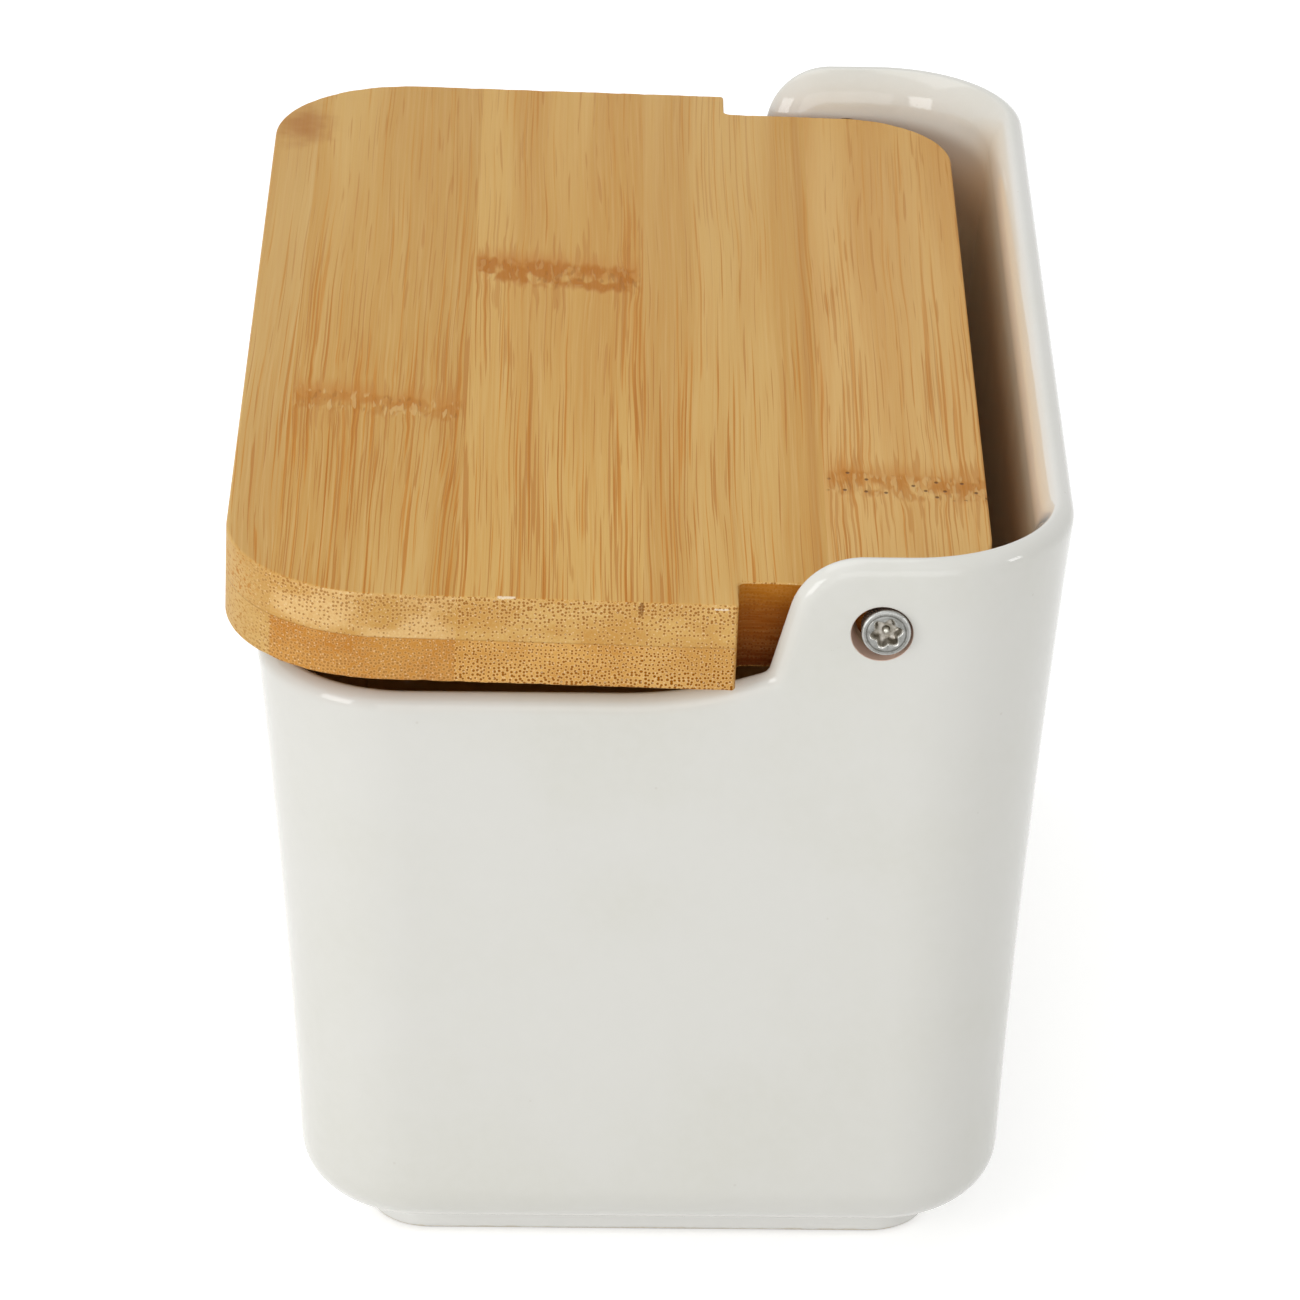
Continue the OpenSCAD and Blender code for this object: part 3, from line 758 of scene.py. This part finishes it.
def ear_edge():
    """The edge of an end wall from front to back, as (y, height above the low rim, direction)."""
    def arc(centre, radius, start, stop, steps):
        angles = [start + (stop - start) * (i + 0.5) / steps for i in range(steps)]
        return [(centre[0] + radius * sind(a), centre[1] - radius * cosd(a), a) for a in angles]

    level = [(y, 0.0, 0.0) for y in spread(-straight_half(0), ramp_start_y, 14, 1)]
    slope = [(y, z, ear_steepness) for y, z in
             zip(spread(flank_low[0], flank_high[0], 5), spread(flank_low[1], flank_high[1], 5))]
    top = [(y, ear_rise, 0.0) for y in spread(shoulder_centre[0], straight_half(flare(top_height)), 6)[:-1]]
    return (level + arc(ramp_centre, ramp_radius, 0, ramp_angle, 10)
            + arc(heel_centre, heel_radius, ramp_angle, ear_steepness, 9) + slope
            + arc(shoulder_centre, -shoulder_radius, ear_steepness, 0, 14) + top)


EDGE = ear_edge()
COLUMNS = (corner_columns(0) + end_columns(1, EDGE) + corner_columns(1) + long_columns(1)
           + corner_columns(2) + end_columns(-1, EDGE[::-1]) + corner_columns(3) + long_columns(-1))


# -------- the rows of its skin, from the foot to the floor
def plain_row(d, z):
    return [(*c.plan(d), z) for c in COLUMNS]


def lean_row(across, drop, share):
    """A row at a share of the way from the belt to the line that lies a drop below the crest."""
    row = []
    for c in COLUMNS:
        y_top, z_top = c.below_edge(drop)
        z = belt_z + (z_top - belt_z) * share
        row.append(c.point(flare(z) - across, c.foot_y + (y_top - c.foot_y) * share, z))
    return row


def rim_row(a):
    row = []
    for c in COLUMNS:
        y, z = c.below_edge(rim_drop(a))
        row.append(c.point(flare(z) - rim_inset(a), y, z))
    return row


def outside_profile():
    """From the hollow in the foot up to the belt, as (offset, height)."""
    crease = 0.5
    profile = [(ring_line - 1.6, foot_hollow), (ring_line - 0.7, foot_hollow - 0.1), (ring_line - 0.15, 0.35),
               (ring_line + 0.35, 0.0)]
    profile += [(foot_line - foot_rounding * (1 - cosd(a)), foot_rounding * (1 + sind(a)))
                for a in spread(-90, 0, 6)]
    profile.append((foot_line, foot_height / 2 + foot_rounding * 0.2 + 0.3))
    profile += [(foot_line + crease * (1 + cosd(a)), foot_height - crease * (1 - sind(a)))
                for a in spread(180, 90, 4)]
    profile += [(edge_centre + lower_edge_radius * cosd(a), edge_centre_z + lower_edge_radius * sind(a))
                for a in spread(-90, -edge_lean, 12, 1)]
    return profile + [(flare(z), z) for z in spread(edge_top_z, belt_z, 14, 1)]


def inside_profile():
    """From the belt down to the floor."""
    profile = [(flare(z) - wall, z) for z in spread(belt_z, hollow_top_z, 12)[:-1]]
    return profile + [(hollow_centre + floor_fillet * cosd(a), hollow_centre_z + floor_fillet * sind(a))
                      for a in spread(-hollow_lean, -90, 12)]


belt_rows = 13
rim_angles = (spread(0, crest_from, 7, 1) + spread(crest_from, crest_to, 7, 1)
              + spread(crest_to, 180, 9, 1)[:-1])
rows = [plain_row(d, z) for d, z in outside_profile()]
outer_belt = len(rows) - 1
rows += [lean_row(0.0, outer_drop, share) for share in spread(0, 1, belt_rows, 1)]
outer_top = len(rows) - 1
rows += [rim_row(a) for a in rim_angles]
inner_top = len(rows)
rows += [lean_row(wall, inner_drop, share) for share in spread(1, 0, belt_rows)[:-1]]
inner_belt = len(rows)
rows += [plain_row(d, z) for d, z in inside_profile()]


# -------- its hinge bores, set into the grid
def surface_x(y, z, across):
    """How far the right end wall's surface lies from the middle: across is 0 outside, and -wall inside."""
    d = flare(z) + across
    r = plan_radius(d)
    over = max(0.0, abs(y) - straight_half(d))
    return box_length / 2 + d - r + math.sqrt(max(0.0, r * r - over * over))


def surface_normal(side, y, z, across):
    h = 0.01
    slope_y = (surface_x(y + h, z, across) - surface_x(y - h, z, across)) / (2 * h)
    slope_z = (surface_x(y, z + h, across) - surface_x(y, z - h, across)) / (2 * h)
    n = Vector((1.0, -slope_y, -slope_z)).normalized() * (-1 if across < 0 else 1)
    return Vector((n.x * side, n.y, n.z))


# radius of the patch of the grid that a bore's rings replace
patch_radius = 6.1
# radius of the rounding of the bore's two lips
lip_round = 0.16
# radius of the bore's inner mouth
narrow_radius = 3.05
# share of the wall's thickness over which the bore is straight, round the screw's head
straight_share = 0.45
bore_turns = [2 * math.pi * s / 96 - math.pi for s in range(97)]

verts = [point for row in rows for point in row]
faces = []
known_normals = {}
# quads near a bore, by face of the wall and by side
patches = {}


def add_vertex(point, normal=None):
    verts.append(point)
    if normal:
        known_normals[len(verts) - 1] = normal
    return len(verts) - 1


def turn_of(v):
    """Direction in which a point lies from the bore's axis."""
    return math.atan2(verts[v][2] - bore_z, verts[v][1] - bore_y)


def near_bore(v):
    x, y, z = verts[v]
    return abs(x) > box_length / 2 - 12 and math.hypot(y - bore_y, z - bore_z) < patch_radius


def lay_grid():
    """Cover the skin with quads, and set those near a bore aside."""
    rings = [range(r * len(COLUMNS), (r + 1) * len(COLUMNS)) for r in range(len(rows))]
    for r in range(len(rows) - 1):
        across = 0.0 if outer_belt <= r < outer_top else -wall if inner_top <= r < inner_belt else None
        for quad in quads_between(rings[r], rings[r + 1]):
            if across is not None and any(near_bore(v) for v in quad):
                side = 1 if verts[quad[0]][0] > 0 else -1
                patches.setdefault((across, side), []).append(quad)
            else:
                faces.append(quad)
    faces.append(tuple(rings[0]))
    faces.append(tuple(reversed(rings[-1])))


def patch_border(quads):
    """The border of a patch as a loop of points, with turn_of rising along it."""
    count = {}
    for quad in quads:
        for i in range(4):
            edge = frozenset((quad[i], quad[(i + 1) % 4]))
            count[edge] = count.get(edge, 0) + 1
    follow = {}
    for edge, times in count.items():
        if times == 1:
            a, b = tuple(edge)
            follow.setdefault(a, []).append(b)
            follow.setdefault(b, []).append(a)
    begin = min(follow, key=turn_of)
    loop = [begin, follow[begin][0]]
    while True:
        after = [v for v in follow[loop[-1]] if v != loop[-2]][0]
        if after == begin:
            break
        loop.append(after)
    area = sum(verts[a][1] * verts[b][2] - verts[b][1] * verts[a][2]
               for a, b in zip(loop, loop[1:] + loop[:1]))
    return loop if area > 0 else loop[:1] + loop[:0:-1]


def lip_rings(side, across, hole_radius):
    """Rings of points from the wall's surface round the lip and into the bore."""
    lip_radius = hole_radius + lip_round
    into = -1 if across == 0 else 1
    rings = []
    for radius in (lip_radius + 0.4, lip_radius + 0.18, lip_radius):
        ring = []
        for t in bore_turns[:-1]:
            y, z = bore_y + radius * math.cos(t), bore_z + radius * math.sin(t)
            x = side * surface_x(y, z, across)
            ring.append(add_vertex((x, y, z), surface_normal(side, y, z, across)))
        rings.append(ring)
    for a in spread(0, 90, 6, 1):
        ring = []
        radius = lip_radius - lip_round * sind(a)
        for t in bore_turns[:-1]:
            lip_y, lip_z = bore_y + lip_radius * math.cos(t), bore_z + lip_radius * math.sin(t)
            y, z = bore_y + radius * math.cos(t), bore_z + radius * math.sin(t)
            lip_x = surface_x(lip_y, lip_z, across)
            x = lip_x + into * lip_round * (1 - cosd(a)) + (surface_x(y, z, across) - lip_x) * (1 - a / 90)
            to_axis = Vector((0, -math.cos(t), -math.sin(t)))
            normal = surface_normal(side, lip_y, lip_z, across) * cosd(a) + to_axis * sind(a)
            ring.append(add_vertex((side * x, y, z), normal.normalized()))
        rings.append(ring)
    return rings


def join_by_turn(loop, ring):
    """Triangles between the grid's border and a ring, by their turn round the bore."""
    turns = [turn_of(loop[0])]
    for v in loop[1:] + loop[:1]:
        turns.append(turns[-1] + (turn_of(v) - turns[-1] + math.pi) % (2 * math.pi) - math.pi)
    i = j = 0
    while i < len(loop) or j < len(ring):
        if j >= len(ring) or (i < len(loop) and turns[i + 1] <= bore_turns[j + 1]):
            faces.append((loop[i % len(loop)], loop[(i + 1) % len(loop)], ring[j % len(ring)]))
            i += 1
        else:
            faces.append((loop[i % len(loop)], ring[(j + 1) % len(ring)], ring[j % len(ring)]))
            j += 1


def cut_bores():
    mouths = {}
    for (across, side), quads in patches.items():
        loop = patch_border(quads)
        for v in loop:
            known_normals[v] = surface_normal(side, verts[v][1], verts[v][2], across)
        rings = lip_rings(side, across, bore_radius if across == 0 else narrow_radius)
        for a, b in zip(rings[:-1], rings[1:]):
            faces.extend(quads_between(a, b))
        join_by_turn(loop, rings[0])
        mouths[(across, side)] = rings[-1]
    for side in (1, -1):
        outer, inner = mouths[(0.0, side)], mouths[(-wall, side)]
        waist = []
        for a, b in zip(outer, inner):
            x, y, z = verts[a]
            waist.append(add_vertex((x + (verts[b][0] - x) * straight_share, y, z)))
        faces.extend(quads_between(outer, waist))
        faces.extend(quads_between(waist, inner))


def ceramic_mesh():
    """The box's mesh in metres, without the points inside the bores' patches."""
    used = sorted({v for face in faces for v in face})
    number = {v: i for i, v in enumerate(used)}
    points = [in_cad_box((verts[v][0] * MM, (verts[v][1] - middle_y) * MM, verts[v][2] * MM)) for v in used]
    mesh = bpy.data.meshes.new("ceramic_box")
    mesh.from_pydata(points, [], [tuple(number[v] for v in face) for face in faces])
    bm = bmesh.new()
    bm.from_mesh(mesh)
    fill_mesh(mesh, bm)
    mesh.update()
    normals = [tuple(n.vector) for n in mesh.vertex_normals]
    for v, normal in known_normals.items():
        if v in number:
            normals[number[v]] = tuple(normal)
    mesh.normals_split_custom_set_from_vertices(normals)
    return mesh


lay_grid()
cut_bores()
add_piece("ceramic_box", ceramic_mesh(), "box", "box", glaze_material())


# -------- the lid's strips
# radius of the notch's outer corner
notch_corner = 0.5
# radius to which the lid's edges are eased, and how much more in places where the ends are worn
easing = 0.34
worn_easing = 0.30


def lid_outline():
    """Points (x, y, normal x, normal y) of the lid's outline, counter-clockwise seen from above."""
    def run(x0, y0, x1, y1, nx, ny, gap):
        count = max(1, int(math.hypot(x1 - x0, y1 - y0) / gap))
        return [(x0 + (x1 - x0) * i / count, y0 + (y1 - y0) * i / count, nx, ny) for i in range(count)]

    def arc(cx, cy, r, start, stop, gap, sign=1):
        count = max(4, int(abs(math.radians(stop - start)) * r / gap))
        angles = spread(start, stop, count)[:-1]
        return [(cx + r * cosd(a), cy + r * sind(a), sign * cosd(a), sign * sind(a)) for a in angles]

    front_in = lid_half - lid_front_radius
    rear_in = rear_half - lid_rear_radius
    front = run(-front_in, lid_front, front_in, lid_front, 0, -1, 4.0)
    right = (arc(front_in, lid_front + lid_front_radius, lid_front_radius, -90, 0, 0.7)
             + run(lid_half, lid_front + lid_front_radius, lid_half, lid_notch - notch_corner, 1, 0, 0.7)
             + arc(lid_half - notch_corner, lid_notch - notch_corner, notch_corner, 0, 90, 0.2)
             + run(lid_half - notch_corner, lid_notch, rear_half + notch_radius, lid_notch, 0, 1, 0.7)
             + arc(rear_half + notch_radius, lid_notch + notch_radius, notch_radius, -90, -180, 0.25, -1)
             + run(rear_half, lid_notch + notch_radius, rear_half, lid_rear - lid_rear_radius, 1, 0, 0.9)
             + arc(rear_in, lid_rear - lid_rear_radius, lid_rear_radius, 0, 90, 0.9))
    rear = run(rear_in, lid_rear, -rear_in, lid_rear, 0, 1, 4.0)
    left = [(-x, y, -nx, ny) for x, y, nx, ny in (right + rear[:1])[:0:-1]]
    return front + right + rear + left


OUTLINE = lid_outline()


def wobble(s, seed):
    """Smooth repeatable noise from 0 to 1."""
    value = 0.0
    for k, (rate, weight) in enumerate(((0.9, 0.45), (2.3, 0.3), (5.1, 0.25))):
        bend = 1.9 * math.sin(s * rate * 0.37 + seed)
        value += weight * (0.5 + 0.5 * math.sin(s * rate + seed * (k + 1.7) + bend))
    return value


def ply_mesh(face_z, outer, seed):
    """One whole ply, from the glue line to its eased face. outer is 1 for the upper one, -1 for the lower."""
    run = 0.0
    radii = []
    for i, (x, y, nx, ny) in enumerate(OUTLINE):
        run += math.hypot(x - OUTLINE[i - 1][0], y - OUTLINE[i - 1][1])
        radii.append(easing + abs(nx) * worn_easing * wobble(run, seed) ** 2)
    loops = [[(x, y, glue_line) for x, y, nx, ny in OUTLINE]]
    for a in spread(0, 90, 5):
        inward, away = 1 - cosd(a), 1 - sind(a)
        loops.append([(x - nx * r * inward, y - ny * r * inward, face_z - outer * r * away)
                      for (x, y, nx, ny), r in zip(OUTLINE, radii)])
    n = len(OUTLINE)
    rings = [range(k * n, (k + 1) * n) for k in range(len(loops))]
    quads = [quad for a, b in zip(rings[:-1], rings[1:]) for quad in quads_between(a, b)]
    mesh = bpy.data.meshes.new("ply")
    mesh.from_pydata([p for loop in loops for p in loop], [],
                     quads + [tuple(reversed(rings[0])), tuple(rings[-1])])
    return mesh


def joint_y(i):
    """Places of the glue joints between the strips, from the front edge back."""
    if i == 0:
        return lid_front - 1
    if i == strip_count:
        return lid_rear + 1
    return lid_front + front_strip_width + (i - 1) * strip_width


def strip_mesh(name, ply, i):
    """Strip i, cut out of its ply and put in its place."""
    bm = bmesh.new()
    bm.from_mesh(ply)
    for y, keep in ((joint_y(i), 1), (joint_y(i + 1), -1)):
        geometry = bm.verts[:] + bm.edges[:] + bm.faces[:]
        cut = bmesh.ops.bisect_plane(bm, geom=geometry, dist=1e-5, plane_co=(0, y, 0), plane_no=(0, keep, 0),
                                     clear_inner=True, clear_outer=False)
        edges = [e for e in cut["geom_cut"] if isinstance(e, bmesh.types.BMEdge)]
        if edges:
            bmesh.ops.holes_fill(bm, edges=edges, sides=0)
    bmesh.ops.transform(bm, matrix=hinge_place, verts=bm.verts)
    for vert in bm.verts:
        vert.co = in_cad_box(vert.co)
    mesh = bpy.data.meshes.new(name)
    fill_mesh(mesh, bm, sharp=28)
    return mesh


far_smudge = Smudge(-66.0, -76.0, 9.0, 0.9)
TOP = [
    Strip(seed=1.3, light=(215, 176, 110), mid=(205, 160, 92), streak=(200, 132, 50), vessels=0.55,
          smudges=[far_smudge]),
    Strip(seed=11.7, light=(217, 176, 106), mid=(207, 160, 88), streak=(203, 132, 48), vessels=0.66,
          ends=(232, 194, 132), knuckles=[Knuckle(27.4, -73.2, -51.6, 0.14, 3.8, 0.15, False)],
          smudges=[far_smudge]),
    Strip(seed=23.1, light=(219, 176, 103), mid=(208, 159, 86), streak=(202, 128, 43), vessels=0.8,
          ends=(222, 182, 112), knuckles=[Knuckle(-16.4, -51.2, -29.2, 0.10, 5.0, 1.0, False)],
          stains=[Stain(-29.0, 0.8, 0.9, 0.7)], chips=[Chip(-46.4, -44.3, 3.15)]),
    Strip(seed=35.9, light=(218, 176, 106), mid=(208, 161, 90), streak=(203, 132, 50), vessels=0.8,
          ends=(222, 180, 108), stripes=[Stripe(-7.9, 0.9, 0.35)], chips=[Chip(-20.6, -18.9, 2.6)]),
    Strip(seed=47.2, light=(221, 178, 110), mid=(211, 162, 93), streak=(205, 132, 50), vessels=0.7,
          knuckles=[Knuckle(47.0, -6.4, 14.0, 0.09, 4.2, 0.35, True)]),
]
BOTTOM = [
    Strip(seed=58.4, light=(216, 176, 108), mid=(206, 160, 90), streak=(188, 128, 54), vessels=0.6),
    Strip(seed=69.8, light=(208, 147, 69), mid=(197, 131, 55), streak=(176, 112, 38), vessels=0.6,
          knuckles=[Knuckle(-38.0, -73.2, -51.6, 0.08, 4.2, 0.5, False)]),
    Strip(seed=80.5, light=(216, 164, 86), mid=(209, 151, 73), streak=(182, 120, 48), vessels=0.95,
          ends=(225, 172, 94)),
    Strip(seed=91.6, light=(218, 168, 92), mid=(209, 155, 80), streak=(184, 124, 50), vessels=1.0,
          ends=(224, 174, 100), knuckles=[Knuckle(19.0, -28.8, -6.9, -0.06, 4.4, 0.8, True)]),
    Strip(seed=97.9, light=(208, 164, 92), mid=(196, 148, 74), streak=(176, 116, 46), vessels=0.8),
]


def add_strips():
    top_ply = ply_mesh(lid_top, 1, seed=3.0)
    bottom_ply = ply_mesh(lid_bottom, -1, seed=8.0)
    for i in range(strip_count):
        for label, ply, strips in (("top", top_ply, TOP), ("bottom", bottom_ply, BOTTOM)):
            node = "%s_strip_%d" % (label, i + 1)
            name = "bamboo_" + node
            material = Bamboo(name, label == "top", strips[i]).owner
            add_piece(name, strip_mesh(name, ply, i), "lid", node, material)
    bpy.data.meshes.remove(top_ply)
    bpy.data.meshes.remove(bottom_ply)


add_strips()


# -------- the screws
def screw_mesh(name, side, turn):
    """A pan-head screw along X, its drive turned by an angle, for the right end or, mirrored, the left."""
    turns = [2 * math.pi * s / 96 for s in range(96)]
    points = []
    rings = []
    recess_floor = head_face - recess_depth
    head_radius = head_diameter / 2
    under_head = head_face - head_height

    def lobe(t):
        return recess_width / 2 * (0.87 + 0.13 * math.cos(6 * t))

    def ring(x, radius_at):
        rings.append(range(len(points), len(points) + len(turns)))
        points.extend((x, radius_at(t) * math.cos(t), radius_at(t) * math.sin(t)) for t in turns)

    def round_ring(x, radius):
        ring(x, lambda t: radius)

    def lobed_ring(x, share):
        ring(x, lambda t: lobe(t) * share)

    # a pip in the middle of the drive, the drive's floor and its walls
    points.append((recess_floor + 0.62, 0, 0))
    for radius, rise in ((0.16, 0.60), (0.30, 0.50), (0.40, 0.32), (0.44, 0.05), (0.50, -0.12),
                         (0.62, -0.16)):
        round_ring(recess_floor + rise, radius)
    for share, rise in ((0.62, -0.12), (0.76, 0.0), (0.84, 0.16), (0.90, 0.5)):
        lobed_ring(recess_floor + rise, share)
    for share, drop in ((0.96, 0.34), (1.0, 0.16), (1.04, 0.07), (1.08, 0.02), (1.11, 0.0)):
        lobed_ring(head_face - drop, share)
    ring(head_face, lambda t: (lobe(t) * 1.12 + 2.2) / 2)
    # a shallow groove round the face, then the rounded rim and the underside of the head
    for radius, drop in ((2.22, 0.0), (2.28, 0.03), (2.33, 0.09), (2.40, 0.09), (2.45, 0.03)):
        round_ring(head_face - drop, radius)
    for a in spread(0, 90, 8, 1):
        round_ring(head_face - 0.03 - 0.34 * (1 - cosd(a)), 2.45 + (head_radius - 2.45) * sind(a))
    for radius, rise in ((head_radius, 0.2), (head_radius - 0.12, 0.03), (head_radius - 0.3, 0.0),
                         (shank_diameter / 2 * 1.02, 0.0)):
        round_ring(under_head + rise, radius)
    # the threaded shank, down to its tip
    pitch = 1.35
    tip = rear_half - shank_grip
    start = under_head - 0.3
    thread_rings = int((start - tip) / 0.17)
    for k in range(thread_rings):
        x = start - (start - tip) * k / thread_rings
        radius = shank_diameter / 2 * min(1.0, (x - tip) / shank_diameter + 0.12)
        depth = 0.26 * min(1.0, k / 6)

        def thread(t):
            phase = (x / pitch + t / (2 * math.pi)) % 1.0
            crest = max(0.0, 1 - abs(phase - 0.5) / 0.22)
            return radius * (1 - depth * (1 - crest))
        ring(x, thread)
    points.append((tip, 0, 0))

    mirror = Matrix.Scale(side, 4, (1, 0, 0))
    place = hinge_place @ mirror @ Matrix.Rotation(math.radians(turn), 4, "X")
    faces = [(0, a, b) for a, b, _, _ in quads_between(rings[0], rings[0])]
    faces += [(len(points) - 1, b, a) for a, b, _, _ in quads_between(rings[-1], rings[-1])]
    for a, b in zip(rings[:-1], rings[1:]):
        faces += quads_between(a, b)
    mesh = bpy.data.meshes.new(name)
    mesh.from_pydata([tuple(place @ Vector(p)) for p in points], [], faces)
    bm = bmesh.new()
    bm.from_mesh(mesh)
    fill_mesh(mesh, bm, sharp=50)
    return mesh


zinc = zinc_material()
for node, side, turn in (("screw_right", 1, 12), ("screw_left", -1, 37)):
    add_piece("pan_" + node, screw_mesh("pan_" + node, side, turn), "lid", node, zinc)


# -------- floor, light, camera
def floor_material():
    """A plain pale floor, with a glow that only the background rays see."""
    m = Nodes(bpy.data.materials.new("floor"))
    cloud = m.step(m.noise(m.coordinates(), 3.0), 0.3, 0.7)
    shade = m.mix(cloud, (229, 229, 228), (233, 233, 232))
    matt = m.shader("ShaderNodeBsdfDiffuse", Color=shade)
    glow = m.shader("ShaderNodeEmission", Color=(1, 1, 1, 1), Strength=m.background_rays() * 0.55)
    both = m.node("ShaderNodeAddShader", {0: matt, 1: glow})
    m.put(m.output.inputs[0], m.field(both))
    return m.owner


def studio_world():
    """A soft even light, behind which the background rays see white."""
    m = Nodes(bpy.data.worlds.new("studio"), "ShaderNodeOutputWorld")
    light = m.shader("ShaderNodeBackground", Color=(1, 1, 1, 1), Strength=0.5)
    white = m.shader("ShaderNodeBackground", Color=(1, 1, 1, 1), Strength=1.0)
    both = m.node("ShaderNodeMixShader", {0: m.background_rays(), 1: light, 2: white})
    m.put(m.output.inputs["Surface"], m.field(both))
    return m.owner


def softbox(name, location, target, width, height, power):
    data = bpy.data.lights.new(name, "AREA")
    data.shape = "RECTANGLE"
    data.size = width
    data.size_y = height
    data.energy = power
    lamp = bpy.data.objects.new(name, data)
    lamp.location = location
    lamp.rotation_mode = "QUATERNION"
    lamp.rotation_quaternion = (Vector(target) - Vector(location)).to_track_quat("-Z", "Y")
    bpy.context.scene.collection.objects.link(lamp)


bpy.ops.mesh.primitive_plane_add(size=6.0, location=(0, 0, -0.0003))
ground = bpy.context.object
ground.name = "floor"
ground.data.materials.append(floor_material())
bpy.context.scene.world = studio_world()
softbox("left", (0.68, -0.82, 0.30), (0, 0, 0.06), 0.44, 0.52, 2.9)
softbox("right", (0.36, 1.12, 0.40), (0, 0, 0.06), 0.2, 0.3, 0.9)
softbox("overhead", (-0.1, -0.45, 1.35), (0, 0, 0.06), 1.2, 1.2, 6.2)
softbox("front", (1.5, 0.15, 0.42), (0, 0, 0.03), 1.5, 0.8, 4.3)

# the photograph's viewpoint: its place in millimetres, and its heading, tilt and roll in degrees
camera_place = Vector((812.5723, -4.9872, 447.9411))
camera_turns = (("Z", 89.59555), ("X", 63.87628), ("Z", 0.7140))
camera_data = bpy.data.cameras.new("camera")
camera = bpy.data.objects.new("camera", camera_data)
bpy.context.scene.collection.objects.link(camera)
bpy.context.scene.camera = camera
camera.matrix_world = Matrix.Translation(camera_place * MM)
for axis, angle in camera_turns:
    camera.matrix_world = camera.matrix_world @ Matrix.Rotation(math.radians(angle), 4, axis)
camera_data.sensor_width = 36.0
camera_data.sensor_fit = "AUTO"
camera_data.lens = 189.013
camera_data.clip_start = 0.05
camera_data.clip_end = 20.0

bpy.context.scene.view_settings.view_transform = "Standard"
